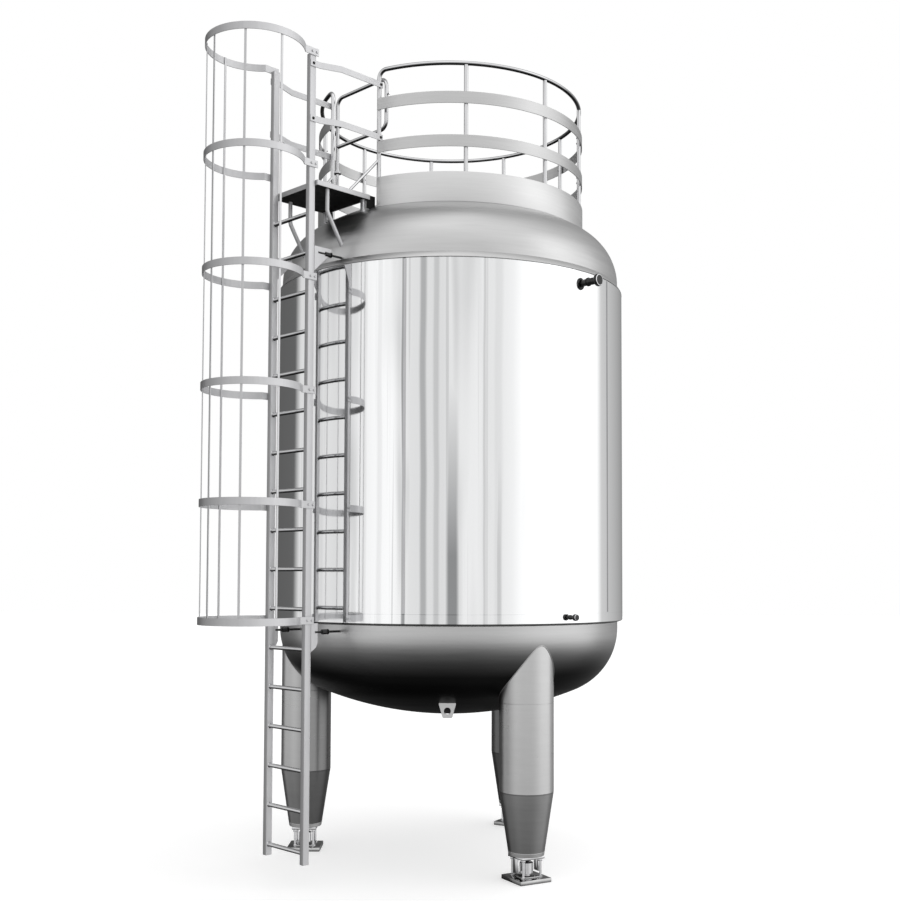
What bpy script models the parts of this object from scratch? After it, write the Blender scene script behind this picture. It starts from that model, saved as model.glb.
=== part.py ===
"""Vertical insulated storage tank on three legs, with a caged ladder, a roof platform and a gate.

Metres, +Z up. The origin is on the floor, at the middle of the ground that the tank and its cage cover.
The tank's axis stands AXIS_OFFSET towards +X and +Y from it, and the ladder stands at the front left.
"""
import math

import bmesh
import bpy
from mathutils import Matrix, Vector

# Touching pieces keep this gap, and round pieces share these steps
GAP = 0.0003
# Parts of one piece run this far into each other, and feet run this far into the head that trims them
JOIN_DEPTH = 0.010
FOOT_SINK = 0.020
STEPS = 72
STEP_ANGLE = math.tau / STEPS

# Vessel: a clad cylinder between two dished ends
CLAD_RADIUS = 1.380
WALL = 0.120
CLAD_BOTTOM = 1.826
CLAD_TOP = 4.394
FLASHING_TOP = 4.440
FLASHING_RADIUS = 1.352
UPPER_HEAD_RADIUS = 1.345
UPPER_TANGENT = 4.483
LOWER_HEAD_RADIUS = 1.339
LOWER_TANGENT = 1.764
KNUCKLE = 0.416
CROWN = 2.289
LOWER_KNUCKLE = 0.515
LOWER_CROWN = 2.646
KNUCKLE_STEPS = 7
CROWN_STEPS = 5

# Manway in the roof
MANWAY_RADIUS = 0.250
MANWAY_WALL = 0.012
MANWAY_TOP = 5.205
LID_RADIUS = 0.285
LID_THICKNESS = 0.018
LID_RISE = 0.022

# Three legs, each a clad cylinder over a cone on a levelling foot
LEG_CIRCLE = 1.135
LEG_RADIUS = 0.196
LEG_ANGLES = (-60, 60, 180)
CONE_TOP = 0.634
CONE_BOTTOM = 0.183
CONE_FOOT_RADIUS = 0.127
FOOT_SIZE = 0.260
FOOT_PLATE = 0.032
MOUNT_SIZE = 0.190
MOUNT_PLATE = 0.020
CELL_RADIUS = 0.048
FOOT_BOLT_RADIUS = 0.014
FOOT_BOLT_OFFSET = 0.072

# Ladder and its cage, in a frame whose x runs along the rungs and y towards the tank
LADDER_ANGLE = 225
LADDER_CIRCLE = 1.600
STRINGER_OFFSET = 0.2145
STRINGER_DEPTH = 0.052
STRINGER_WIDTH = 0.040
LADDER_BOTTOM = 0.170
LADDER_TOP = 5.870
RUNG_COUNT = 17
RUNG_PITCH = 0.280
FIRST_RUNG = 0.247
RUNG_RADIUS = 0.015
HOOP_RADIUS = 0.350
HOOP_OUT = 0.330
HOOP_HEIGHT = 0.052
HOOP_THICKNESS = 0.006
TOP_HOOP = 5.885
BOTTOM_HOOP = 1.850
HOOP_COUNT = 6
HOOP_TAB_END = 0.045
HOOP_STEP = 8
CAGE_BAR_COUNT = 5
CAGE_BAR_SPREAD = 43
CAGE_BAR_WIDTH = 0.016
CAGE_BAR_THICKNESS = 0.006

# Four mounts hold the ladder off the heads, as (height of the stud, outline of the gusset in y and z)
MOUNT_THICKNESS = 0.008
MOUNT_BACK = STRINGER_DEPTH / 2 + GAP
LOWER_MOUNT = (1.768, ((MOUNT_BACK, 1.63), (0.070, 1.66), (0.085, 1.69), (0.085, 1.83), (MOUNT_BACK, 1.83)))
UPPER_MOUNT = (4.452, ((MOUNT_BACK, 4.315), (0.180, 4.465), (0.180, 4.495), (MOUNT_BACK, 4.495)))
STUD_RADIUS = 0.008
STUD_START = 0.060
STUD_END = 0.320
STUD_NUT = (0.122, 0.164)
STUD_NUT_RADIUS = 0.018

# Guard rail round the roof, with an opening towards the ladder
POST_CIRCLE = 1.045
TUBE_RADIUS = 0.0165
HANDRAIL_LEVEL = 5.914
OPENING_HALF = 15
POST_COUNT = 8
FLAT_RAIL_HEIGHT = 0.088
FLAT_RAIL_THICKNESS = 0.006
FLAT_RAIL_RADIUS = 1.0655
UPPER_RAIL_LEVEL = 5.652
LOWER_RAIL_LEVEL = 5.330
CURB_TOP = 5.102
CURB_THICKNESS = 0.010
CURB_CLEARANCE = 0.002
POST_RADIUS = TUBE_RADIUS - 0.0005
POST_RISE = 0.0004
CORNER_RADIUS = 0.060

# Gate behind the opening, hung on the left post and closing against the right one
GATE_TOP = 5.860
GATE_LOWER_BAR = 5.480
GATE_FOOT = 5.150
GATE_END = 0.308
HINGE_OFFSET = (0.0085, 0.038)
HINGE_LEVELS = (5.270, 5.640)
HINGE_PLATE = 0.012
HINGE_EYE = 0.032
COLLAR_HEIGHT = 0.0157
COLLAR_RADIUS = 0.020
JOINER_RATIO = 0.88
PIN_CLEARANCE = 0.001
GATE_TUBE_RADIUS = 0.014

# Platform between the ladder and the opening
DECK_TOP = 4.965
DECK_THICKNESS = 0.036
DECK_HALF_WIDTH = 0.255
DECK_START = 0.030
DECK_END = 0.520
STRUT_SIZE = 0.030
STRUT_OFFSET = 0.218
STRUT_NEAR = 0.150
STRUT_BEND = 4.760
STRUT_LAND = 0.060
DECK_POST_INSET = 0.035
DECK_POST_BOTTOM = 4.600
SIDE_RAIL_HEIGHT = 0.046
SIDE_RAIL_THICKNESS = 0.006
SIDE_RAIL_LEVELS = (5.402, 5.800)
SIDE_RAIL_SPREAD = 0.2935
SIDE_RAIL_KINK = (0.060, 0.210)
BRACE_START = (0.235, 0.337)
BRACE_TOP = 5.240
BRACE_RADIUS = 0.010

# Small nozzles with clamped caps on the cladding, as (name, angle, height, length, neck radius)
UPPER_NOZZLE = ("upper_nozzle", -42, 4.325, 0.095, 0.026)
SAMPLE_NOZZLE = ("sample_nozzle", -50.5, 1.872, 0.060, 0.014)
CAP_RATIO = 1.75
CAP_DEPTH = 0.022
CAP_LIP = 0.004
CAP_ROOM = 0.200

# Lug under the bottom head, at the front
LUG_CIRCLE = 0.900
LUG_WIDTH = 0.126
LUG_FOOT_WIDTH = 0.068
LUG_BOTTOM = 1.136
LUG_THICKNESS = 0.012
LUG_HOLE = 0.025
LUG_WAIST = 0.100

# The origin is midway between the far side of the cladding and the far side of the cage
CAGE_REACH = (LADDER_CIRCLE + HOOP_OUT) * math.sin(math.radians(45)) + HOOP_RADIUS + HOOP_THICKNESS / 2
AXIS_OFFSET = (CAGE_REACH - CLAD_RADIUS) / 2

SATIN = (0.50, 0.50, 0.50, 1.0)
MIRROR = (0.78, 0.79, 0.80, 1.0)
PAINT = (0.72, 0.73, 0.74, 1.0)
DARK = (0.03, 0.03, 0.03, 1.0)


def clear_scene():
    """Empties the scene before modelling, and stands an empty on the tank's axis to carry the rest."""
    for item in list(bpy.data.objects):
        bpy.data.objects.remove(item, do_unlink=True)
    axis = bpy.data.objects.new("tank_axis", None)
    axis.location = (AXIS_OFFSET, AXIS_OFFSET, 0)
    bpy.context.collection.objects.link(axis)


def on_axis(parent):
    """The given parent, or the tank's axis where there is none."""
    return parent or bpy.data.objects["tank_axis"]


def material(name, colour, roughness, metallic):
    """Makes one plain material."""
    made = bpy.data.materials.new(name)
    made.use_nodes = True
    shader = made.node_tree.nodes["Principled BSDF"]
    shader.inputs["Base Color"].default_value = colour
    shader.inputs["Roughness"].default_value = roughness
    shader.inputs["Metallic"].default_value = metallic
    return made


def frame_empty(name, angle, radius):
    """An empty at a place round the tank, with its y axis pointing to the tank's axis."""
    empty = bpy.data.objects.new(name, None)
    turn = math.radians(angle)
    empty.location = (radius * math.cos(turn), radius * math.sin(turn), 0)
    empty.rotation_euler = (0, 0, turn + math.pi / 2)
    empty.parent = on_axis(None)
    bpy.context.collection.objects.link(empty)
    return empty


def place(name, mesh, finish, parent=None):
    """Links a mesh as a named object with its own copy of a material."""
    made = bpy.data.objects.new(name, mesh)
    bpy.context.collection.objects.link(made)
    own = finish.copy()
    own.name = f"{name}_finish"
    mesh.materials.append(own)
    made.parent = on_axis(parent)
    return made


def mesh_from(bm, name, smooth=True):
    """Turns a bmesh into a mesh with outward normals and smooth round sides."""
    bmesh.ops.remove_doubles(bm, verts=bm.verts, dist=0.00001)
    bmesh.ops.recalc_face_normals(bm, faces=bm.faces)
    mesh = bpy.data.meshes.new(name)
    bm.to_mesh(mesh)
    bm.free()
    if smooth:
        mesh.shade_smooth()
        mesh.set_sharp_from_angle(angle=math.radians(35))
    return mesh


def turned(name, profile, closed, start=0, steps=STEPS):
    """Spins a profile of (radius, height) points about Z, from an angle in degrees."""
    bm = bmesh.new()
    turn = Matrix.Rotation(math.radians(start), 3, "Z")
    verts = [bm.verts.new(turn @ Vector((r, 0, z))) for r, z in profile]
    edges = [bm.edges.new(pair) for pair in zip(verts, verts[1:])]
    whole = steps == STEPS
    if closed:
        edges.append(bm.edges.new((verts[-1], verts[0])))
    section = verts + edges
    if closed and not whole:
        section.append(bm.faces.new(verts))
    bmesh.ops.spin(bm, geom=section, cent=(0, 0, 0), axis=(0, 0, 1),
                   angle=STEP_ANGLE * steps, steps=steps, use_merge=whole, use_duplicate=False)
    return mesh_from(bm, name)


def block(name, low, high):
    """A plain box between two corners."""
    bm = bmesh.new()
    low, high = Vector(low), Vector(high)
    size = high - low
    bmesh.ops.create_cube(bm, size=1)
    bmesh.ops.scale(bm, verts=bm.verts, vec=size)
    bmesh.ops.translate(bm, verts=bm.verts, vec=(low + high) / 2)
    return mesh_from(bm, name, smooth=False)


def rod(name, start, end, radius, sides=12, end_radius=None):
    """A round bar between two points, or a cone where end_radius differs."""
    start, end = Vector(start), Vector(end)
    along = end - start
    bm = bmesh.new()
    bmesh.ops.create_cone(bm, cap_ends=True, segments=sides, radius1=radius,
                          radius2=radius if end_radius is None else end_radius, depth=along.length)
    turn = Vector((0, 0, 1)).rotation_difference(along).to_matrix().to_4x4()
    bmesh.ops.transform(bm, verts=bm.verts, matrix=Matrix.Translation((start + end) / 2) @ turn)
    return mesh_from(bm, name)


def bent_tube(name, points, radius, resolution=2):
    """A tube along a line of points."""
    curve = bpy.data.curves.new(name, "CURVE")
    curve.dimensions = "3D"
    spline = curve.splines.new("POLY")
    spline.points.add(len(points) - 1)
    for knot, point in zip(spline.points, points):
        knot.co = (*point, 1)
    curve.bevel_depth = radius
    curve.bevel_resolution = resolution
    curve.use_fill_caps = True
    holder = bpy.data.objects.new(name, curve)
    bpy.context.collection.objects.link(holder)
    bpy.context.view_layer.update()
    mesh = bpy.data.meshes.new_from_object(holder.evaluated_get(bpy.context.evaluated_depsgraph_get()))
    bpy.data.objects.remove(holder)
    bm = bmesh.new()
    bm.from_mesh(mesh)
    return mesh_from(bm, name)


def flat_bar(name, path, bottom, top, thickness, finish, parent=None):
    """A flat bar on edge that follows a line of (x, y) points."""
    bm = bmesh.new()
    verts = [bm.verts.new((x, y, bottom)) for x, y in path]
    edges = [bm.edges.new(pair) for pair in zip(verts, verts[1:])]
    risen = bmesh.ops.extrude_edge_only(bm, edges=edges)
    moved = [item for item in risen["geom"] if isinstance(item, bmesh.types.BMVert)]
    bmesh.ops.translate(bm, verts=moved, vec=(0, 0, top - bottom))
    mesh = mesh_from(bm, name)
    made = place(name, mesh, finish, parent)
    wall = made.modifiers.new("thickness", "SOLIDIFY")
    wall.thickness = thickness
    wall.offset = 0
    wall.use_even_offset = True
    return made


def helper(name, mesh, parent=None):
    """A hidden shape that a Boolean uses."""
    made = bpy.data.objects.new(name, mesh)
    bpy.context.collection.objects.link(made)
    made.hide_render = True
    made.display_type = "WIRE"
    made.parent = on_axis(parent)
    return made


def boolean(target, other, operation):
    """Adds an exact Boolean with one helper."""
    cut = target.modifiers.new(operation.lower(), "BOOLEAN")
    cut.operation = operation
    cut.solver = "EXACT"
    cut.object = other


def weld(target, meshes, parent=None):
    """Joins meshes that overlap the target into one body."""
    for mesh in meshes:
        boolean(target, helper(f"{mesh.name}_weld", mesh, parent), "UNION")


def arc(centre, radius, start, end, count):
    """Points on a circle in plan, from one angle in degrees to another."""
    angles = [math.radians(start + (end - start) * i / count) for i in range(count + 1)]
    return [(centre[0] + radius * math.cos(a), centre[1] + radius * math.sin(a)) for a in angles]


def head_curve(radius, offset, inner_end, outer_knuckle=KNUCKLE, outer_crown=CROWN):
    """A dished end from its rim to inner_end, as (radius, height above the tangent line)."""
    knuckle, crown = outer_knuckle - offset, outer_crown - offset
    middle = radius - outer_knuckle
    drop = math.sqrt((outer_crown - outer_knuckle) ** 2 - middle ** 2)
    join = math.asin(middle / (outer_crown - outer_knuckle))
    curve = []
    for i in range(KNUCKLE_STEPS + 1):
        turn = (math.pi / 2 - join) * i / KNUCKLE_STEPS
        curve.append((middle + knuckle * math.cos(turn), knuckle * math.sin(turn)))
    last = math.asin(inner_end / crown)
    for i in range(1, CROWN_STEPS + 1):
        turn = join + (last - join) * i / CROWN_STEPS
        curve.append((crown * math.sin(turn), crown * math.cos(turn) - drop))
    return curve


def roof_height(radius):
    """Height of the upper head's crown at a distance from the axis."""
    drop = math.sqrt((CROWN - KNUCKLE) ** 2 - (UPPER_HEAD_RADIUS - KNUCKLE) ** 2)
    return UPPER_TANGENT + math.sqrt(CROWN ** 2 - radius ** 2) - drop


def make_upper_head(finish):
    """The dished roof, with a hole for the manway."""
    hole = MANWAY_RADIUS + GAP
    outer = [(r, UPPER_TANGENT + z) for r, z in head_curve(UPPER_HEAD_RADIUS, 0, hole)]
    inner = [(r, UPPER_TANGENT + z) for r, z in head_curve(UPPER_HEAD_RADIUS, WALL, hole)]
    rim = FLASHING_TOP + GAP
    profile = [(UPPER_HEAD_RADIUS, rim)] + outer + inner[::-1] + [(UPPER_HEAD_RADIUS - WALL, rim)]
    place("upper_head", turned("upper_head", profile, True), finish)


def lower_curve(offset):
    """The section of the lower head from its rim to the centre, offset inwards, as (radius, height)."""
    curve = head_curve(LOWER_HEAD_RADIUS, offset, 0, LOWER_KNUCKLE, LOWER_CROWN)
    return [(r, LOWER_TANGENT - z) for r, z in curve]


def make_lower_head(finish):
    """The dished bottom, closed at the centre."""
    outer = lower_curve(0)
    inner = lower_curve(WALL)
    rim = CLAD_BOTTOM - GAP
    profile = outer[::-1] + [(LOWER_HEAD_RADIUS, rim), (LOWER_HEAD_RADIUS - WALL, rim)] + inner
    place("lower_head", turned("lower_head", profile, False), finish)


def make_shell(finish):
    """The clad cylindrical wall between the heads."""
    inner = CLAD_RADIUS - WALL
    profile = [(CLAD_RADIUS, CLAD_BOTTOM), (CLAD_RADIUS, CLAD_TOP), (inner, CLAD_TOP), (inner, CLAD_BOTTOM)]
    place("shell_wall", turned("shell_wall", profile, True), finish)


def make_flashing(finish):
    """The sloped ring that closes the cladding at the top."""
    inner = CLAD_RADIUS - WALL
    low = CLAD_TOP + GAP
    profile = [(CLAD_RADIUS, low), (FLASHING_RADIUS, FLASHING_TOP), (inner, FLASHING_TOP), (inner, low)]
    place("top_flashing", turned("top_flashing", profile, True), finish)


def make_manway(finish):
    """A short neck through the roof and its dished lid."""
    inner = MANWAY_RADIUS - MANWAY_WALL
    low = roof_height(MANWAY_RADIUS) - WALL
    neck = [(MANWAY_RADIUS, low), (MANWAY_RADIUS, MANWAY_TOP), (inner, MANWAY_TOP), (inner, low)]
    place("manway_neck", turned("manway_neck", neck, True), finish)
    base = MANWAY_TOP + GAP
    rim = base + LID_THICKNESS
    lid = [(0, base), (LID_RADIUS, base), (LID_RADIUS, rim), (LID_RADIUS * 0.86, rim),
           (LID_RADIUS * 0.6, rim + LID_RISE * 0.7), (0, rim + LID_RISE)]
    place("manway_lid", turned("manway_lid", lid, False), finish)


def roof_room():
    """The space of the upper head, which shapes the feet of all that stands on the roof."""
    outer = [(r, UPPER_TANGENT + z) for r, z in head_curve(UPPER_HEAD_RADIUS, -GAP, MANWAY_RADIUS + GAP)]
    profile = [(0, CLAD_TOP), (UPPER_HEAD_RADIUS + GAP, CLAD_TOP)] + outer + [(0, outer[-1][1])]
    return helper("upper_head_room", turned("upper_head_room", profile, False))


def make_curb(finish, roof):
    """The upright band round the roof, open towards the ladder."""
    outer = FLAT_RAIL_RADIUS + CURB_THICKNESS / 2
    inner = outer - CURB_THICKNESS + CURB_CLEARANCE
    low = roof_height(outer) - FOOT_SINK
    profile = [(outer, low), (outer, CURB_TOP), (inner, CURB_TOP), (inner, low)]
    steps = STEPS - round(math.radians(2 * OPENING_HALF) / STEP_ANGLE)
    mesh = turned("roof_curb", profile, True, LADDER_ANGLE + OPENING_HALF, steps)
    boolean(place("roof_curb", mesh, finish), roof, "DIFFERENCE")


def make_flat_rail(name, level, finish):
    """One flat rail on the outside of the guard posts."""
    path = arc((0, 0), FLAT_RAIL_RADIUS, LADDER_ANGLE + OPENING_HALF, LADDER_ANGLE - OPENING_HALF + 360, 66)
    half = FLAT_RAIL_HEIGHT / 2
    flat_bar(name, path, level - half, level + half, FLAT_RAIL_THICKNESS, finish)


def rail_corner(angle, turning):
    """The bend that takes the handrail down into a gate post, from the post's side."""
    bend = math.degrees(CORNER_RADIUS / POST_CIRCLE)
    points = []
    for i in range(5):
        turn = math.radians(90 * i / 4)
        along = math.radians(angle + turning * bend * (1 - math.cos(turn)))
        height = HANDRAIL_LEVEL - CORNER_RADIUS * (1 - math.sin(turn))
        points.append((POST_CIRCLE * math.cos(along), POST_CIRCLE * math.sin(along), height))
    return points


def make_handrail(finish, roof):
    """The round top rail, bent down at both ends into the gate posts, as one tube."""
    first, last = LADDER_ANGLE + OPENING_HALF, LADDER_ANGLE - OPENING_HALF + 360
    bend = math.degrees(CORNER_RADIUS / POST_CIRCLE)
    ring = [(x, y, HANDRAIL_LEVEL) for x, y in arc((0, 0), POST_CIRCLE, first + bend, last - bend, 56)]
    right, left = rail_corner(first, 1), rail_corner(last, -1)
    foot = roof_height(POST_CIRCLE) - FOOT_SINK
    points = [(*right[0][:2], foot)] + right + ring[1:-1] + left[::-1] + [(*left[0][:2], foot)]
    boolean(place("handrail", bent_tube("handrail", points, TUBE_RADIUS), finish), roof, "DIFFERENCE")


def make_posts(finish, roof):
    """The round posts between the gate posts, standing inside the curb."""
    span = (360 - 2 * OPENING_HALF) / (POST_COUNT + 1)
    for i in range(POST_COUNT):
        turn = math.radians(LADDER_ANGLE + OPENING_HALF + span * (i + 1))
        x, y = POST_CIRCLE * math.cos(turn), POST_CIRCLE * math.sin(turn)
        foot, top = roof_height(POST_CIRCLE) - FOOT_SINK, HANDRAIL_LEVEL - TUBE_RADIUS + POST_RISE
        mesh = rod(f"rail_post_{i + 1}", (x, y, foot), (x, y, top), POST_RADIUS)
        boolean(place(f"rail_post_{i + 1}", mesh, finish), roof, "DIFFERENCE")


def opening_post(side):
    """The plan place of a gate post in the ladder's frame, side -1 left or 1 right."""
    turn = math.radians(OPENING_HALF)
    return side * POST_CIRCLE * math.sin(turn), LADDER_CIRCLE - POST_CIRCLE * math.cos(turn)


def make_gate(finish, ladder_frame):
    """The swing gate: a bent bar on an upright stile with two hinge collars."""
    post_x, post_y = opening_post(-1)
    hinge = bpy.data.objects.new("gate_hinge_axis", None)
    bpy.context.collection.objects.link(hinge)
    hinge.parent = ladder_frame
    hinge.location = (post_x + HINGE_OFFSET[0], post_y + HINGE_OFFSET[1], 0)
    end = GATE_END - hinge.location.x
    bend = CORNER_RADIUS
    outline = [(0, GATE_FOOT), (0, GATE_TOP - bend)]
    outline += arc((bend, GATE_TOP - bend), bend, 180, 90, 4)[1:]
    outline += arc((end - bend, GATE_TOP - bend), bend, 90, 0, 4)
    outline += arc((end - bend, GATE_LOWER_BAR + bend), bend, 0, -90, 4)
    outline += [(bend / 2, GATE_LOWER_BAR)]
    bar = bent_tube("gate", [(x, 0, z) for x, z in outline], GATE_TUBE_RADIUS)
    leaf = place("gate", bar, finish, hinge)
    near = GATE_TUBE_RADIUS / 4
    joiner = rod("gate_lower_end", (near, 0, GATE_LOWER_BAR), (bend, 0, GATE_LOWER_BAR),
                 GATE_TUBE_RADIUS * JOINER_RATIO, 10)
    seat = HINGE_PLATE + GAP
    collars = [rod(f"gate_collar_{i}", (0, 0, level + seat), (0, 0, level + seat + COLLAR_HEIGHT),
                   COLLAR_RADIUS, 16) for i, level in enumerate(HINGE_LEVELS)]
    weld(leaf, [joiner] + collars, hinge)


def make_hinge_plates(finish, ladder_frame):
    """Two round plates that clasp the left gate post and hold the gate's stile in an eye."""
    post_x, post_y = opening_post(-1)
    for name, level in zip(("gate_hinge_lower", "gate_hinge_upper"), HINGE_LEVELS):
        centre = (post_x + HINGE_OFFSET[0], post_y + HINGE_OFFSET[1])
        top = level + HINGE_PLATE
        plate = rod(name, (*centre, level), (*centre, top), HINGE_EYE, 24)
        made = place(name, plate, finish, ladder_frame)
        low, high = level - HINGE_EYE, top + HINGE_EYE
        post = rod(f"{name}_post_room", (post_x, post_y, low), (post_x, post_y, high), TUBE_RADIUS + GAP, 24)
        eye = rod(f"{name}_eye", (*centre, low), (*centre, high), GATE_TUBE_RADIUS + PIN_CLEARANCE, 24)
        for cutter in (post, eye):
            boolean(made, helper(cutter.name, cutter, ladder_frame), "DIFFERENCE")


def make_platform(finish, ladder_frame, roof):
    """The step-over deck, with two cranked struts and two short ones to the roof."""
    low = DECK_TOP - DECK_THICKNESS
    deck = block("platform", (-DECK_HALF_WIDTH, DECK_START, low), (DECK_HALF_WIDTH, DECK_END, DECK_TOP))
    made = place("platform", deck, finish, ladder_frame)
    half = STRUT_SIZE / 2
    pieces = []
    for side in (-1, 1):
        x = side * STRUT_OFFSET
        reach = math.sqrt(UPPER_HEAD_RADIUS ** 2 - x ** 2)
        wall = LADDER_CIRCLE - reach
        crank = [(x, STRUT_NEAR, low + JOIN_DEPTH), (x, STRUT_NEAR, STRUT_BEND),
                 (x, wall + STRUT_LAND, UPPER_TANGENT + STRUT_LAND / 2)]
        pieces.append(bent_tube(f"platform_crank_{side}", crank, half))
        back = DECK_END - DECK_POST_INSET
        pieces.append(block(f"platform_post_{side}", (x - half, back - half, DECK_POST_BOTTOM),
                            (x + half, back + half, low + JOIN_DEPTH)))
    weld(made, pieces, ladder_frame)
    boolean(made, roof, "DIFFERENCE")


def make_braces(finish, ladder_frame):
    """Slanted tubes from the deck's sides up to the gate posts."""
    for side, word in ((-1, "left"), (1, "right")):
        post_x, post_y = opening_post(side)
        start = (side * BRACE_START[0], BRACE_START[1], DECK_TOP - JOIN_DEPTH)
        brace = rod(f"brace_{word}", start, (post_x, post_y, BRACE_TOP), BRACE_RADIUS)
        made = place(f"brace_{word}", brace, finish, ladder_frame)
        deck = block(f"brace_{word}_deck_room", (-DECK_HALF_WIDTH, 0, DECK_TOP - DECK_THICKNESS),
                     (DECK_HALF_WIDTH, DECK_END, DECK_TOP + GAP))
        post = rod(f"brace_{word}_post_room", (post_x, post_y, DECK_TOP), (post_x, post_y, GATE_TOP),
                   TUBE_RADIUS + GAP, 24)
        for cutter in (deck, post):
            boolean(made, helper(cutter.name, cutter, ladder_frame), "DIFFERENCE")


def make_side_rails(finish, ladder_frame):
    """Flat bars from the ladder's stringers to the gate posts, at two heights on each side."""
    outside = STRINGER_OFFSET + STRINGER_WIDTH / 2 + SIDE_RAIL_THICKNESS / 2 + GAP
    post_y = opening_post(1)[1]
    half = SIDE_RAIL_HEIGHT / 2
    for side, word in ((-1, "left"), (1, "right")):
        path = [(outside, -STRINGER_DEPTH / 2), (outside, SIDE_RAIL_KINK[0]),
                (SIDE_RAIL_SPREAD, SIDE_RAIL_KINK[1]), (SIDE_RAIL_SPREAD, post_y + TUBE_RADIUS)]
        path = [(side * x, y) for x, y in path]
        for rank, level in zip(("lower", "upper"), SIDE_RAIL_LEVELS):
            flat_bar(f"side_rail_{word}_{rank}", path, level - half, level + half,
                     SIDE_RAIL_THICKNESS, finish, ladder_frame)


def make_ladder(finish, ladder_frame):
    """Two box stringers with round rungs let into them."""
    half_width, half_depth = STRINGER_WIDTH / 2, STRINGER_DEPTH / 2
    left, right = [block(f"ladder_stringer_{side}",
                         (side * STRINGER_OFFSET - half_width, -half_depth, LADDER_BOTTOM),
                         (side * STRINGER_OFFSET + half_width, half_depth, LADDER_TOP)) for side in (-1, 1)]
    left.name = "ladder"
    made = place("ladder", left, finish, ladder_frame)
    reach = STRINGER_OFFSET - half_width + JOIN_DEPTH
    bm = bmesh.new()
    for i in range(RUNG_COUNT):
        level = FIRST_RUNG + RUNG_PITCH * i
        turn = Matrix.Translation((0, 0, level)) @ Matrix.Rotation(math.pi / 2, 4, "Y")
        bmesh.ops.create_cone(bm, cap_ends=True, segments=10, radius1=RUNG_RADIUS, radius2=RUNG_RADIUS,
                              depth=2 * reach, matrix=turn)
    weld(made, [mesh_from(bm, "ladder_rungs"), right], ladder_frame)


def plate(name, outline, centre, thickness):
    """An upright plate across x, from an outline of (y, z) points."""
    bm = bmesh.new()
    face = bm.faces.new([bm.verts.new((centre - thickness / 2, y, z)) for y, z in outline])
    pushed = bmesh.ops.extrude_face_region(bm, geom=[face])
    moved = [item for item in pushed["geom"] if isinstance(item, bmesh.types.BMVert)]
    bmesh.ops.translate(bm, verts=moved, vec=(thickness, 0, 0))
    return mesh_from(bm, name, smooth=False)


def make_ladder_mounts(finish, ladder_frame, rooms):
    """Gusset plates behind the stringers, each on a stud that reaches the head."""
    for rank, (level, outline) in (("lower", LOWER_MOUNT), ("upper", UPPER_MOUNT)):
        for side, word in ((-1, "left"), (1, "right")):
            name = f"ladder_mount_{word}_{rank}"
            x = side * (STRINGER_OFFSET + (STRINGER_WIDTH - MOUNT_THICKNESS) / 2)
            made = place(name, plate(name, outline, x, MOUNT_THICKNESS), finish, ladder_frame)
            stud = rod(f"{name}_stud", (x, STUD_START, level), (x, STUD_END, level), STUD_RADIUS)
            nut = rod(f"{name}_nut", (x, STUD_NUT[0], level), (x, STUD_NUT[1], level), STUD_NUT_RADIUS, 6)
            weld(made, [stud, nut], ladder_frame)
            boolean(made, rooms[rank], "DIFFERENCE")


def hoop_path():
    """The plan of a cage hoop: tabs on the stringers' outer sides and a round bow between them."""
    outside = STRINGER_OFFSET + STRINGER_WIDTH / 2 + HOOP_THICKNESS / 2 + GAP
    open_half = math.degrees(math.asin(outside / HOOP_RADIUS))
    steps = round((360 - 2 * open_half) / HOOP_STEP)
    bow = arc((0, -HOOP_OUT), HOOP_RADIUS, 90 + open_half, 450 - open_half, steps)
    return [(-outside, HOOP_TAB_END)] + bow + [(outside, HOOP_TAB_END)]


def make_hoops(finish, ladder_frame):
    """The flat hoops of the safety cage, from the bottom up."""
    half = HOOP_HEIGHT / 2
    for i in range(HOOP_COUNT):
        level = BOTTOM_HOOP + (TOP_HOOP - BOTTOM_HOOP) * i / (HOOP_COUNT - 1)
        flat_bar(f"cage_hoop_{i + 1}", hoop_path(), level - half, level + half, HOOP_THICKNESS,
                 finish, ladder_frame)


def make_cage_bars(finish, ladder_frame):
    """The upright bars inside the hoops."""
    bow = HOOP_RADIUS * math.cos(math.radians(HOOP_STEP / 2))
    radius = bow - (HOOP_THICKNESS + CAGE_BAR_THICKNESS) / 2 - 2 * GAP
    low, high = BOTTOM_HOOP - HOOP_HEIGHT / 2, TOP_HOOP + HOOP_HEIGHT / 2
    for i in range(CAGE_BAR_COUNT):
        turn = math.radians(-90 + CAGE_BAR_SPREAD * (i - (CAGE_BAR_COUNT - 1) / 2))
        across = Vector((-math.sin(turn), math.cos(turn))) * CAGE_BAR_WIDTH / 2
        middle = Vector((radius * math.cos(turn), radius * math.sin(turn) - HOOP_OUT))
        path = [tuple(middle - across), tuple(middle + across)]
        flat_bar(f"cage_bar_{i + 1}", path, low, high, CAGE_BAR_THICKNESS, finish, ladder_frame)


def leg_room():
    """The space of the lower head, which trims the tops of the legs and what else meets the head."""
    outer = lower_curve(-GAP)
    profile = outer[::-1] + [(LOWER_HEAD_RADIUS + GAP, CLAD_BOTTOM), (0, CLAD_BOTTOM)]
    return helper("lower_head_room", turned("lower_head_room", profile, False))


def make_leg(number, angle, finishes, room):
    """One leg: clad cylinder, cone, levelling mount and foot plate."""
    clad, cone_finish, steel = finishes
    frame = frame_empty(f"leg_frame_{number}", angle, LEG_CIRCLE)
    top = LOWER_TANGENT - FOOT_SINK
    cylinder = rod(f"leg_{number}", (0, 0, CONE_TOP), (0, 0, top), LEG_RADIUS, 48)
    leg = place(f"leg_{number}", cylinder, clad, frame)
    boolean(leg, room, "DIFFERENCE")
    cone = rod(f"leg_cone_{number}", (0, 0, CONE_BOTTOM), (0, 0, CONE_TOP - GAP), CONE_FOOT_RADIUS, 48,
               LEG_RADIUS)
    place(f"leg_cone_{number}", cone, cone_finish, frame)
    make_foot(number, steel, frame)


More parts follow.
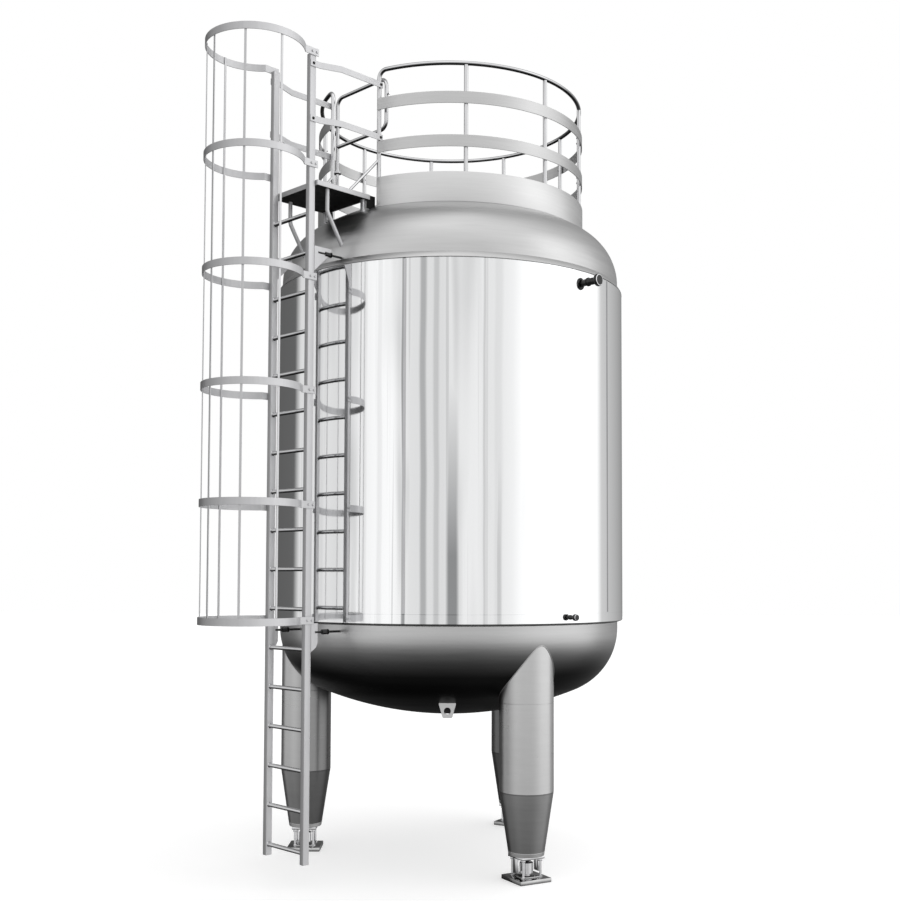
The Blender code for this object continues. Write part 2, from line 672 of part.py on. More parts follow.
def make_foot(number, finish, frame):
    """The square foot: a base plate, a load cell, four bolts and a top plate."""
    half, mount = FOOT_SIZE / 2, MOUNT_SIZE / 2
    top = CONE_BOTTOM - GAP
    bolt_top = top - MOUNT_PLATE + JOIN_DEPTH
    plate = block(f"foot_{number}", (-half, -half, 0), (half, half, FOOT_PLATE))
    foot = place(f"foot_{number}", plate, finish, frame)
    pieces = [block(f"foot_top_{number}", (-mount, -mount, top - MOUNT_PLATE), (mount, mount, top)),
              rod(f"foot_cell_{number}", (0, 0, FOOT_PLATE - JOIN_DEPTH), (0, 0, bolt_top),
                  CELL_RADIUS, 16)]
    for i, (x, y) in enumerate(((-1, -1), (1, -1), (1, 1), (-1, 1))):
        spot = (x * FOOT_BOLT_OFFSET, y * FOOT_BOLT_OFFSET)
        pieces.append(rod(f"foot_bolt_{number}_{i}", (*spot, FOOT_PLATE - JOIN_DEPTH), (*spot, bolt_top),
                          FOOT_BOLT_RADIUS, 8))
    weld(foot, pieces, frame)


def make_nozzle(settings, finish):
    """A short level stub on the cladding, with a wider clamped cap."""
    name, angle, height, length, radius = settings
    frame = frame_empty(f"{name}_frame", angle, CLAD_RADIUS)
    wall = CLAD_RADIUS * (1 - math.cos(STEP_ANGLE / 2))
    end = -length
    made = place(name, rod(name, (0, wall, height), (0, end, height), radius, 16), finish, frame)
    cap = rod(f"{name}_cap", (0, end + CAP_DEPTH, height), (0, end - CAP_LIP, height), radius * CAP_RATIO, 20)
    weld(made, [cap], frame)
    low, high, reach = height - CAP_ROOM, height + CAP_ROOM, CLAD_RADIUS + GAP
    room = turned(f"{name}_wall_room", [(0, low), (reach, low), (reach, high), (0, high)], False)
    boolean(made, helper(f"{name}_wall_room", room), "DIFFERENCE")


def make_lug(finish, room):
    """The drilled plate under the front of the bottom head."""
    frame = frame_empty("lug_frame", -90, LUG_CIRCLE)
    half, foot, deep = LUG_WIDTH / 2, LUG_FOOT_WIDTH / 2, LUG_THICKNESS / 2
    waist, level = LUG_BOTTOM + LUG_WAIST, LUG_BOTTOM + LUG_WAIST / 2
    top = LUG_BOTTOM + 2 * LUG_WAIST
    outline = [(-foot, LUG_BOTTOM), (foot, LUG_BOTTOM), (half, waist), (half, top), (-half, top)]
    outline.append((-half, waist))
    bm = bmesh.new()
    face = bm.faces.new([bm.verts.new((x, -deep, z)) for x, z in outline])
    pushed = bmesh.ops.extrude_face_region(bm, geom=[face])
    moved = [item for item in pushed["geom"] if isinstance(item, bmesh.types.BMVert)]
    bmesh.ops.translate(bm, verts=moved, vec=(0, 2 * deep, 0))
    lug = place("bottom_lug", mesh_from(bm, "bottom_lug", smooth=False), finish, frame)
    hole = rod("lug_hole", (0, -LUG_THICKNESS, level), (0, LUG_THICKNESS, level), LUG_HOLE, 20)
    boolean(lug, helper("lug_hole", hole, frame), "DIFFERENCE")
    boolean(lug, room, "DIFFERENCE")


def build():
    """Makes the whole tank."""
    clear_scene()
    satin = material("satin_steel", SATIN, 0.35, 1.0)
    mirror = material("mirror_cladding", MIRROR, 0.08, 1.0)
    paint = material("light_steel", PAINT, 0.40, 0.8)
    dark = material("dark_deck", DARK, 0.70, 0.2)
    make_lower_head(satin)
    make_shell(mirror)
    make_flashing(satin)
    make_upper_head(satin)
    make_manway(satin)
    roof = roof_room()
    make_curb(satin, roof)
    make_handrail(satin, roof)
    make_posts(satin, roof)
    make_flat_rail("upper_rail", UPPER_RAIL_LEVEL, satin)
    make_flat_rail("lower_rail", LOWER_RAIL_LEVEL, satin)
    ladder_frame = frame_empty("ladder_frame", LADDER_ANGLE, LADDER_CIRCLE)
    make_hinge_plates(satin, ladder_frame)
    make_gate(satin, ladder_frame)
    make_platform(dark, ladder_frame, roof)
    make_braces(satin, ladder_frame)
    make_side_rails(paint, ladder_frame)
    make_ladder(paint, ladder_frame)
    room = leg_room()
    make_ladder_mounts(paint, ladder_frame, {"lower": room, "upper": roof})
    make_hoops(paint, ladder_frame)
    make_cage_bars(paint, ladder_frame)
    for settings in (UPPER_NOZZLE, SAMPLE_NOZZLE):
        make_nozzle(settings, satin)
    make_lug(satin, room)
    for number, angle in enumerate(LEG_ANGLES, 1):
        make_leg(number, angle, (satin, satin, satin), room)


build()
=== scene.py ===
import bmesh
import bpy
from math import asin, cos, degrees, hypot, pi, radians, sin, sqrt
from mathutils import Matrix, Vector


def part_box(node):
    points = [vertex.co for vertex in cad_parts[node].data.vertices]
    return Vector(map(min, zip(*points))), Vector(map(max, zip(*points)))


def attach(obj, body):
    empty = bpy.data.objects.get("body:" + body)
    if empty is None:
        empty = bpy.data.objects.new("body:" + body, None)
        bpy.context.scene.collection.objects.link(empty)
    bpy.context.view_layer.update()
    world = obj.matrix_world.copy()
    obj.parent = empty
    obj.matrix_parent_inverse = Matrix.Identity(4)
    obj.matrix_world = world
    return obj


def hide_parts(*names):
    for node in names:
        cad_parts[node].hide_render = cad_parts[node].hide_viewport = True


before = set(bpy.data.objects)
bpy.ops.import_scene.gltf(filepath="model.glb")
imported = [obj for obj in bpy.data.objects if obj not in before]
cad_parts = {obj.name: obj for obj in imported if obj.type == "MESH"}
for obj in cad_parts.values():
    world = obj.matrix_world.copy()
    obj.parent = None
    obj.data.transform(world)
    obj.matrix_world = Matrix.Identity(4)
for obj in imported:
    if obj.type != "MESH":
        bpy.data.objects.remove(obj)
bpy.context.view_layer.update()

shellLow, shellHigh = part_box("shell_wall")
tankAxis = Vector(((shellLow.x + shellHigh.x) / 2, (shellLow.y + shellHigh.y) / 2, 0))
tankPlace = Matrix.Translation(tankAxis)

ladderPlan = {"angle": 225, "circle": 1.6, "stringer": 0.2145, "width": 0.04, "depth": 0.052}
vessel = {"radius": 1.38, "wall": 0.12, "low": 1.826, "high": 4.394}
upperEnd = {"radius": 1.345, "tangent": 4.483, "knuckle": 0.416, "crown": 2.289, "up": 1,
            "rim": 4.4403, "hole": 0.2503}
lowerEnd = {"radius": 1.339, "tangent": 1.764, "knuckle": 0.515, "crown": 2.646, "up": -1,
            "rim": 1.8257, "hole": 0}


def polar(angle, radius):
    turn = radians(angle)
    return radius * cos(turn), radius * sin(turn)


def roundPlace(angle, circle):
    # a place round the tank, with its y axis pointing at the tank's axis
    spot = Vector((*polar(angle, circle), 0))
    return Matrix.Translation(tankAxis + spot) @ Matrix.Rotation(radians(angle + 90), 4, "Z")


ladderPlace = roundPlace(ladderPlan["angle"], ladderPlan["circle"])


def setInputs(tree, node, inputs):
    # links sockets and sets values
    for key, value in inputs.items():
        if isinstance(value, bpy.types.NodeSocket):
            tree.links.new(value, node.inputs[key])
        else:
            node.inputs[key].default_value = value
    return node


def addNode(tree, kind, inputs=(), **settings):
    node = tree.nodes.new("ShaderNode" + kind)
    for key, value in settings.items():
        setattr(node, key, value)
    return setInputs(tree, node, dict(inputs))


def addNoise(tree, vector, scale, detail, roughness):
    inputs = {"Vector": vector, "Scale": scale, "Detail": detail, "Roughness": roughness}
    return addNode(tree, "TexNoise", inputs).outputs["Fac"]


def addMath(tree, operation, *values, clamp=False):
    return addNode(tree, "Math", enumerate(values), operation=operation, use_clamp=clamp).outputs[0]


def addDot(tree, first, second):
    return addNode(tree, "VectorMath", {0: first, 1: second}, operation="DOT_PRODUCT").outputs["Value"]


def addRange(tree, value, low, high, newLow=0.0, newHigh=1.0):
    inputs = {"Value": value, "From Min": low, "From Max": high, "To Min": newLow, "To Max": newHigh}
    return addNode(tree, "MapRange", inputs).outputs["Result"]


def addRamp(tree, value, stops):
    # the first and last of the (place, level) stops stand at the ramp's two ends
    ramp = addNode(tree, "ValToRGB", {"Fac": value})
    elements = ramp.color_ramp.elements
    for place, level in stops[1:-1]:
        elements.new(place).color = grey(level)
    elements[0].color, elements[-1].color = grey(stops[0][1]), grey(stops[-1][1])
    return ramp.outputs["Color"]


def addMapping(tree, vector, scale=(1, 1, 1), location=(0, 0, 0), turn=0):
    inputs = {"Vector": vector, "Scale": scale, "Location": location, "Rotation": (0, 0, radians(turn))}
    return addNode(tree, "Mapping", inputs).outputs["Vector"]


def addBump(tree, height, distance, strength, invert=False):
    inputs = {"Height": height, "Distance": distance, "Strength": strength}
    return addNode(tree, "Bump", inputs, invert=invert).outputs["Normal"]


def addMix(tree, factor, first, second, blend="MIX"):
    inputs = {"Factor": factor, "A": first, "B": second}
    return addNode(tree, "Mix", inputs, data_type="RGBA", blend_type=blend).outputs["Result"]


def grey(level, blue=0.0):
    return level, level, level + blue, 1


def splitAxes(tree, vector):
    return addNode(tree, "SeparateXYZ", {"Vector": vector}).outputs


def objectCoordinates(tree):
    return addNode(tree, "TexCoord").outputs["Object"]


def centredCoordinates(tree, stretch=(1.0, 1.0, 1.0)):
    # object coordinates from the tank's axis
    centre = (-tankAxis.x * stretch[0], -tankAxis.y * stretch[1], 0)
    return addMapping(tree, objectCoordinates(tree), stretch, centre)


def openGroup(name, depth, preset):
    # a group that takes coordinates and the depth of its bump
    group = bpy.data.node_groups.new(name, "ShaderNodeTree")
    group.interface.new_socket(name="Coordinates", in_out="INPUT", socket_type="NodeSocketVector")
    group.interface.new_socket(name=depth, in_out="INPUT", socket_type="NodeSocketFloat").default_value = preset
    return group, *group.nodes.new("NodeGroupInput").outputs[:2]


def closeGroup(group, results):
    for label in results:
        kind = "NodeSocketVector" if label == "Normal" else "NodeSocketFloat"
        group.interface.new_socket(name=label, in_out="OUTPUT", socket_type=kind)
    setInputs(group, group.nodes.new("NodeGroupOutput"), results)
    return group


def makeGrainGroup():
    # fine lines of grinding, over broad clouds and a few long rub marks
    group, coordinates, depth = openGroup("groundGrain", "Depth", 0.3)
    grain = addRange(group, addNoise(group, coordinates, 1.0, 4.0, 0.5), 0.3, 0.7)
    marks = addRange(group, addNoise(group, coordinates, 0.35, 5.0, 0.7), 0.35, 0.65)
    clouds = addNoise(group, objectCoordinates(group), 1.7, 3.0, 0.5)
    mixed = addMath(group, "MULTIPLY_ADD", grain, 0.35, addMath(group, "MULTIPLY", marks, 0.35))
    tone = addMath(group, "ADD", mixed, addRange(group, clouds, 0.3, 0.7, 0.0, 0.3), clamp=True)
    rub = addMath(group, "MULTIPLY_ADD", marks, 0.6, addMath(group, "MULTIPLY", clouds, 0.4))
    return closeGroup(group, {"Tone": tone, "Rub": rub, "Normal": addBump(group, grain, 0.0006, depth)})


def makeSheetGroup():
    # long upright waves of thin polished sheet, as a tone of faint streaks that stand for polish marks and painted
    # reflection both, a haze, a sideways sway and a normal
    group, coordinates, depth = openGroup("sheetWaves", "Wave Depth", 0.5)
    stretch, taper = [addMapping(group, coordinates, (1, 1, squeeze), (0.37, 0, 0)) for squeeze in (0.006, 0.035)]
    broad = addNoise(group, stretch, 2.6, 1.0, 0.4)
    middle = addNoise(group, taper, 9.0, 1.0, 0.5)
    thin = addRange(group, addNoise(group, stretch, 30.0, 1.0, 0.5), 0.66, 0.72, 0.0, 0.7)
    faint = addRange(group, addNoise(group, stretch, 64.0, 0.0, 0.5), 0.6, 0.76, 0.0, 0.3)
    fade = addRange(group, addNoise(group, coordinates, 0.8, 1.0, 0.5), 0.36, 0.6, 0.3, 1.0)
    soft = addMath(group, "MULTIPLY", addRange(group, middle, 0.46, 0.74, 0.0, 0.95), fade)
    streak = addMath(group, "MAXIMUM", soft, addMath(group, "MAXIMUM", thin, faint), clamp=True)
    sway = addNoise(group, addMapping(group, coordinates, (2.0, 2.0, 1.1)), 1.0, 1.0, 0.5)
    haze = addRange(group, addNoise(group, coordinates, 1.3, 4.0, 0.6), 0.35, 0.7)
    swell = addMath(group, "MULTIPLY_ADD", middle, 0.22, broad)
    return closeGroup(group, {"Streak": streak, "Haze": haze, "Sway": sway,
                              "Normal": addBump(group, swell, 0.004, depth)})


grainGroup = makeGrainGroup()
sheetGroup = makeSheetGroup()


def newMaterial(name):
    made = bpy.data.materials.new(name)
    made.use_nodes = True
    return made, made.node_tree, made.node_tree.nodes["Principled BSDF"]


def makeGroundSteel(name, dark, light, rough, stretch, depth, blue=0.0, metallic=1.0):
    made, tree, shader = newMaterial(name)
    inputs = {"Coordinates": centredCoordinates(tree, stretch), "Depth": depth}
    marks = addNode(tree, "Group", inputs, node_tree=grainGroup).outputs
    setInputs(tree, shader, {"Base Color": addMix(tree, marks["Tone"], grey(dark, blue), grey(light, blue)),
                             "Roughness": addRange(tree, marks["Rub"], 0.2, 0.8, *rough),
                             "Metallic": metallic, "Normal": marks["Normal"]})
    return made


mirror = {"waves": 0.16, "sway": 0.008, "crowding": -106, "crowd": (0.74, 0.96, 0.04, 1.0), "faint": 0.55,
          "streakLow": 2.3, "streakHigh": 3.7, "front": (-134.3, -44.3), "bright": (0.95, 0.955, 0.96, 1),
          "dim": (0.22, 0.225, 0.23, 1), "rough": (0.045, 0.085)}
# painted reflections, drawn as dark streaks on the front sheets: degrees to the right of the photo's middle, half
# width, and how dark
streaks = {"wash": [(-30, 12, 0.13), (-7, 10, 0.22), (15, 7, 0.12)],
           "whole": [(-26, 1, 0.15), (-21, 1, 0.15), (-13.7, 0.7, 0.7), (-7.8, 1.2, 0.45), (-4, 1, 0.25),
                     (10, 0.5, 0.3), (14.2, 1.5, 0.1)],
           "lower": [(-29.5, 1.2, 0.3), (0.7, 2.3, 0.9), (14.5, 1, 0.45)]}


def addStreaks(tree, place, marks):
    # one ramp of painted reflection across the front quarter turn, level over the middle half of each streak
    stops = [(0.0, 0.0)]
    for middle, half, dark in marks:
        stops += [((middle + reach * half + 45) / 90, level)
                  for reach, level in ((-1, 0.0), (-0.5, dark), (0.5, dark), (1, 0.0))]
    return addRamp(tree, place, stops + [(1.0, 0.0)])


def makeMirrorSheet():
    # bright polished sheet with painted reflections: dark streaks drawn round the front, and faint streaks, polish
    # marks and painted reflection both, that crowd on the side that faces the ladder and on the far side
    made, tree, shader = newMaterial("mirrorSheet")
    coordinates = centredCoordinates(tree)
    inputs = {"Coordinates": coordinates, "Wave Depth": mirror["waves"]}
    waves = addNode(tree, "Group", inputs, node_tree=sheetGroup).outputs
    side = addDot(tree, coordinates, (*polar(mirror["crowding"], 1 / vessel["radius"]), 0))
    crowd = addRange(tree, addMath(tree, "ABSOLUTE", side), *mirror["crowd"])
    faint = addMath(tree, "MULTIPLY", waves["Streak"], crowd, clamp=True)
    x, y, height = splitAxes(tree, coordinates)
    sway = addRange(tree, waves["Sway"], 0.0, 1.0, -mirror["sway"], mirror["sway"])
    turn = addMath(tree, "ADD", addMath(tree, "ARCTAN2", y, x), sway)
    place = addRange(tree, turn, *[radians(angle) for angle in mirror["front"]])
    wash, whole, lower = [addStreaks(tree, place, marks) for marks in streaks.values()]
    fade = addRange(tree, height, mirror["streakLow"], mirror["streakHigh"], 1.0, 0.0)
    # painted reflection: the drawn streaks, which darken the sheet's base colour
    paintedReflection = addMath(tree, "MAXIMUM", addMath(tree, "ADD", wash, whole), addMath(tree, "MULTIPLY", lower, fade))
    streak = addMath(tree, "MAXIMUM", paintedReflection, addMath(tree, "MULTIPLY", faint, mirror["faint"]), clamp=True)
    setInputs(tree, shader, {"Base Color": addMix(tree, streak, mirror["bright"], mirror["dim"]), "Metallic": 1.0,
                             "Roughness": addRange(tree, waves["Haze"], 0.0, 1.0, *mirror["rough"]),
                             "Normal": waves["Normal"]})
    return made


def makeDeckPlate():
    # deck with a raised tread of slanting bars on its walking side, near black: painted shade of its shaded
    # underside
    made, tree, shader = newMaterial("deckPlate")
    coordinates = objectCoordinates(tree)
    slanting = addMapping(tree, coordinates, turn=45)
    inputs = {"Vector": slanting, "Scale": 28.0, "Mortar Size": 0.32, "Mortar Smooth": 0.4}
    tread = addNode(tree, "TexBrick", inputs).outputs["Fac"]
    dust = addNoise(tree, coordinates, 9.0, 5.0, 0.65)
    setInputs(tree, shader, {"Base Color": addMix(tree, dust, grey(0.003), grey(0.01)), "Specular IOR Level": 0.15,
                             "Roughness": addRange(tree, dust, 0.3, 0.7, 0.5, 0.75),
                             "Normal": addBump(tree, tread, 0.002, 0.6, True)})
    return made


def shadeColour(made, shade):
    # paints shade by multiplying what already feeds the base colour
    tree = made.node_tree
    shader = tree.nodes["Principled BSDF"]
    colour = shader.inputs["Base Color"].links[0].from_socket
    setInputs(tree, shader, {"Base Color": addMix(tree, 1.0, colour, shade, "MULTIPLY")})
    return made


def shadeByFacing(made, direction, reach, shades):
    # paints shade: darkens the faces turned away from this direction, towards the floor or the studio's dark end
    tree = made.node_tree
    normal = addNode(tree, "NewGeometry").outputs["Normal"]
    return shadeColour(made, addRange(tree, addDot(tree, normal, direction), *reach, *shades))


def makeBottomSteel():
    # as the roof, with painted shade: darker where the dish turns down over the floor
    made = makeGroundSteel("bottomSteel", 0.54, 0.63, (0.3, 0.38), (3, 3, 60), 0.05)
    tree = made.node_tree
    # painted shade, deepening towards the bottom of the dish
    downShade = addRange(tree, splitAxes(tree, objectCoordinates(tree))["Z"], 1.39, 1.7)
    return shadeColour(made, addMath(tree, "MAXIMUM", addMath(tree, "POWER", downShade, 1.7), 0.06))


def makeLegSteel(name, dark, light):
    # satin steel with painted shade, darker towards the tank's axis: a painted reflection of the dark space under
    # the tank
    made = makeGroundSteel(name, dark, light, (0.27, 0.32), (5, 5, 40), 0.008)
    tree = made.node_tree
    flat = addNode(tree, "VectorMath", {0: centredCoordinates(tree), 1: (1, 1, 0)}, operation="MULTIPLY")
    outward = addNode(tree, "VectorMath", {0: flat.outputs["Vector"]}, operation="NORMALIZE")
    return shadeByFacing(made, outward.outputs["Vector"], (-1.0, 0.9), (0.25, 1.0))


mirrorSheet = makeMirrorSheet()
bottomSteel = makeBottomSteel()
deckPlate = makeDeckPlate()
legSteel = makeLegSteel("legSteel", 0.56, 0.62)
# the cones take a darker copy of the leg steel: painted shade where they turn down
coneSteel = makeLegSteel("coneSteel", 0.38, 0.44)
# dark and light tone, roughness, stretch of the grain, depth of its bump
headSteel = makeGroundSteel("headSteel", 0.54, 0.63, (0.3, 0.38), (3, 3, 60), 0.05)
curbSteel = makeGroundSteel("curbSteel", 0.64, 0.72, (0.36, 0.42), (4, 4, 90), 0.04)
railSteel = makeGroundSteel("railSteel", 0.52, 0.62, (0.34, 0.42), (4, 4, 120), 0.05)
darkSteel = makeGroundSteel("darkSteel", 0.03, 0.08, (0.25, 0.4), (60, 60, 60), 0.1)
lapSheet = makeGroundSteel("lapSheet", 0.4, 0.55, (0.1, 0.2), (60, 60, 3), 0.05, 0.01)
tubeSteel = makeGroundSteel("tubeSteel", 0.66, 0.76, (0.05, 0.09), (4, 4, 4), 0.003, 0.01)
footSteel = makeGroundSteel("footSteel", 0.62, 0.84, (0.04, 0.09), (14, 14, 14), 0.5, 0.01)
basePlate = makeGroundSteel("basePlate", 0.36, 0.74, (0.05, 0.1), (9, 9, 9), 1.0)
ladderSteel = makeGroundSteel("ladderSteel", 0.5, 0.58, (0.36, 0.44), (50, 50, 3), 0.04, 0.01, 0.45)
# painted shade: tubes and foot parts darker underneath, the base plate and the ladder darker on the side turned
# away from the light
shadeByFacing(tubeSteel, (0, 0, 1), (-0.65, 0.05), (0.05, 1.0))
shadeByFacing(footSteel, (0, 0, 1), (-0.7, -0.1), (0.05, 1.0))
shadeByFacing(basePlate, (0.5, -0.866, 0), (-0.7, 0.9), (0.05, 1.05))
shadeByFacing(ladderSteel, (0.707, -0.707, 0), (-0.7, 0.9), (0.42, 1.05))
print("materials made")


def newObject(name, data):
    made = bpy.data.objects.new(name, data)
    bpy.context.scene.collection.objects.link(made)
    return made


def meshOf(name, bm):
    mesh = bpy.data.meshes.new(name)
    bm.to_mesh(mesh)
    bm.free()
    return mesh


washerThickness = 0.0015


def addPiece(name, bm, finish, nodes=(), place=tankPlace, body="tank", sharp=35, bevel=None):
    bmesh.ops.remove_doubles(bm, verts=bm.verts, dist=0.00003)
    bmesh.ops.recalc_face_normals(bm, faces=bm.faces)
    bmesh.ops.transform(bm, matrix=place, verts=bm.verts)
    mesh = meshOf(name, bm)
    mesh.shade_smooth()
    mesh.set_sharp_from_angle(angle=radians(sharp))
    mesh.materials.append(finish)
    piece = newObject(name, mesh)
    if bevel:
        edge = piece.modifiers.new("edges", "BEVEL")
        edge.width, edge.segments = bevel, 2
        edge.limit_method, edge.angle_limit = "ANGLE", radians(40)
    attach(piece, body)
    if nodes:
        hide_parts(*nodes)


def spun(profile, steps=160, start=0.0, sweep=360.0):
    # a profile of (radius, height) points, spun about the z axis; one that starts off the axis is closed
    bm, closed = bmesh.new(), profile[0][0] > 0.001
    turn = Matrix.Rotation(radians(start), 3, "Z")
    verts = [bm.verts.new(turn @ Vector((r, 0, z))) for r, z in profile]
    edges = [bm.edges.new(pair) for pair in zip(verts, verts[1:])]
    if closed:
        edges.append(bm.edges.new((verts[-1], verts[0])))
    whole = sweep == 360.0
    section = verts + edges
    if closed and not whole:
        section.append(bm.faces.new(verts))
    bmesh.ops.spin(bm, geom=section, cent=(0, 0, 0), axis=(0, 0, 1), angle=radians(sweep), steps=steps,
                   use_merge=whole, use_duplicate=False)
    return bm


def addRod(bm, start, end, radius, sides=16, endRadius=None):
    start, end = Vector(start), Vector(end)
    along = end - start
    turn = Vector((0, 0, 1)).rotation_difference(along).to_matrix().to_4x4()
    bmesh.ops.create_cone(bm, cap_ends=True, segments=sides, radius1=radius,
                          radius2=radius if endRadius is None else endRadius, depth=along.length,
                          matrix=Matrix.Translation((start + end) / 2) @ turn)


def addBox(bm, low, high, bevel=0.0, segments=2):
    low, high = Vector(low), Vector(high)
    size = high - low
    place = Matrix.Translation((low + high) / 2) @ Matrix.Diagonal((*size, 1))
    made = bmesh.ops.create_cube(bm, size=1, matrix=place)
    if bevel:
        edges = list({edge for vert in made["verts"] for edge in vert.link_edges})
        bmesh.ops.bevel(bm, geom=edges, offset=bevel, segments=segments, profile=0.5, affect="EDGES", material=-1)


def addNut(bm, centre, direction, radius, height):
    # a hexagon head with a chamfered top
    centre, rise = Vector(centre), Vector(direction).normalized() * height
    addRod(bm, centre, centre + rise * 0.8, radius, 6)
    addRod(bm, centre + rise * 0.8, centre + rise, radius, 6, radius * 0.8)


def addBolt(bm, spot, direction, washer, nut, height):
    # a washer under a hexagon head
    spot, direction = Vector(spot), Vector(direction)
    seat = spot + direction * washerThickness
    addRod(bm, spot, seat, washer, 20)
    addNut(bm, seat, direction, nut, height)


def addTube(bm, points, radius, resolution=4, closed=False):
    # a round tube along a line of points
    curve = bpy.data.curves.new("tubePath", "CURVE")
    curve.dimensions = "3D"
    spline = curve.splines.new("POLY")
    spline.points.add(len(points) - 1)
    for knot, point in zip(spline.points, points):
        knot.co = (*point, 1)
    spline.use_cyclic_u = closed
    curve.bevel_depth, curve.bevel_resolution = radius, resolution
    curve.use_fill_caps = not closed
    holder = newObject("tubePath", curve)
    mesh = bpy.data.meshes.new_from_object(holder.evaluated_get(bpy.context.evaluated_depsgraph_get()))
    bm.from_mesh(mesh)
    bpy.data.objects.remove(holder)
    bpy.data.meshes.remove(mesh)
    bpy.data.curves.remove(curve)


def movedVerts(result):
    return [item for item in result["geom"] if isinstance(item, bmesh.types.BMVert)]


def addFlat(bm, path, bottom, top, thickness):
    # a flat bar on edge along a line of (x, y) points, centred on the line
    bar = bmesh.new()
    line = [bar.verts.new((x, y, bottom)) for x, y in path]
    risen = bmesh.ops.extrude_edge_only(bar, edges=[bar.edges.new(pair) for pair in zip(line, line[1:])])
    bmesh.ops.translate(bar, verts=movedVerts(risen), vec=(0, 0, top - bottom))
    bmesh.ops.recalc_face_normals(bar, faces=bar.faces)
    bar.normal_update()
    for vert in bar.verts:
        vert.co += vert.normal * thickness / 2 * vert.calc_shell_factor()
    bmesh.ops.solidify(bar, geom=bar.faces[:], thickness=thickness)
    mesh = meshOf("flatBar", bar)
    bm.from_mesh(mesh)
    bpy.data.meshes.remove(mesh)


def roofHeight(x, y):
    # the roof's height over a place in the ladder's frame
    return headHeight(upperEnd, hypot(x, ladderPlan["circle"] - y))


def addFlatPiece(name, node, path, bottom, top, thickness, finish=ladderSteel,
                 place=ladderPlace, bevel=0.001):
    bm = bmesh.new()
    addFlat(bm, path, bottom, top, thickness)
    addPiece(name, bm, finish, [node], place, bevel=bevel)


def arcPoints(centre, radius, start, end, count):
    spokes = [polar(start + (end - start) * i / count, radius) for i in range(count + 1)]
    return [(centre[0] + x, centre[1] + y) for x, y in spokes]


def roundedProfile(points, radius, segments=3):
    # softens the corners of a spun section by a small round
    out = []
    for i, point in enumerate(points):
        if points[0][0] < 0.001 and i in (0, len(points) - 1):
            out.append(point)
            continue
        here, before, after = Vector(point), Vector(points[i - 1]), Vector(points[(i + 1) % len(points)])
        reach = min(radius, (before - here).length * 0.45, (after - here).length * 0.45)
        start = here + (before - here).normalized() * reach
        end = here + (after - here).normalized() * reach
        for k in range(segments + 1):
            share = k / segments
            out.append(tuple(start.lerp(here, share).lerp(here.lerp(end, share), share)))
    return out


def headCentres(end):
    # the knuckle centre's distance from the axis, and the crown centre's depth below the rim
    middle = end["radius"] - end["knuckle"]
    return middle, sqrt((end["crown"] - end["knuckle"]) ** 2 - middle ** 2)


def headCurve(end, offset, innerEnd):
    # the section of a dished end as (radius, height), from the rim inwards
    knuckle, crown = end["knuckle"], end["crown"]
    middle, drop = headCentres(end)
    join = degrees(asin(middle / (crown - knuckle)))
    last = degrees(asin(innerEnd / (crown - offset)))
    curve = arcPoints((middle, 0), knuckle - offset, 0, 90 - join, 18)
    curve += arcPoints((0, -drop), crown - offset, 90 - join, 90 - last, 26)[1:]
    return [(r, end["tangent"] + end["up"] * z) for r, z in curve]


def headHeight(end, at):
    # height of a dished end's outside at a distance from the axis
    knuckle, crown = end["knuckle"], end["crown"]
    middle, drop = headCentres(end)
    if at > crown * middle / (crown - knuckle):
        rise = sqrt(max(knuckle ** 2 - (at - middle) ** 2, 0))
    else:
        rise = sqrt(crown ** 2 - at ** 2) - drop
    return end["tangent"] + end["up"] * rise


cladding = {"laps": 5, "firstLap": -102.7, "lapWidth": 0.02, "lapThickness": 0.0012, "skirt": 0.07,
            "groove": 0.0015, "shadowBand": 0.012}


def makeCladding():
    outer, inner = vessel["radius"], vessel["radius"] - vessel["wall"]
    low, high = vessel["low"], vessel["high"]
    lap, groove = cladding["lapThickness"], cladding["groove"]
    skirtTop, face = low + cladding["skirt"], outer - lap
    profile = [(inner, low), (outer - 0.006, low), (face, low + 0.005), (face, skirtTop - groove),
               (face - groove, skirtTop), (face, skirtTop + groove), (face, high - 0.03), (face, high - 0.006),
               (outer - 0.007, high), (inner, high)]
    addPiece("claddingSheet", spun(profile, 240), mirrorSheet, ["shell_wall"], sharp=20)
    bm = bmesh.new()
    half = degrees(cladding["lapWidth"] / 2 / outer)
    for i in range(cladding["laps"]):
        angle = cladding["firstLap"] + 360 / cladding["laps"] * i
        path = arcPoints((0, 0), outer - lap / 2 - 0.0001, angle - half, angle + half, 4)
        addFlat(bm, path, skirtTop + 0.006, high - 0.01, lap)
    addPiece("claddingLaps", bm, lapSheet, sharp=30)
    # painted shadow: a dark strip just under the drum's lower edge, where its shade falls on the bottom head
    shadowBand = cladding["shadowBand"]
    inside, outside = lowerEnd["radius"] - 0.002, outer - 0.007
    ring = [(inside, low - shadowBand), (inside + 0.006, low - shadowBand), (outside, low - 0.002), (outside, low + 0.001),
            (inside, low + 0.001)]
    addPiece("claddingShadowBand", spun(ring, 200), darkSteel, sharp=30)


def headSection(end):
    # outer and inner curve, and the rim's outer and inner corner
    curves = headCurve(end, 0, end["hole"]), headCurve(end, vessel["wall"], end["hole"])
    return *curves, [(end["radius"], end["rim"]), (end["radius"] - vessel["wall"], end["rim"])]


flashing = {"low": 4.3943, "top": 4.44, "shoulder": 1.3535, "lip": 1.3505}


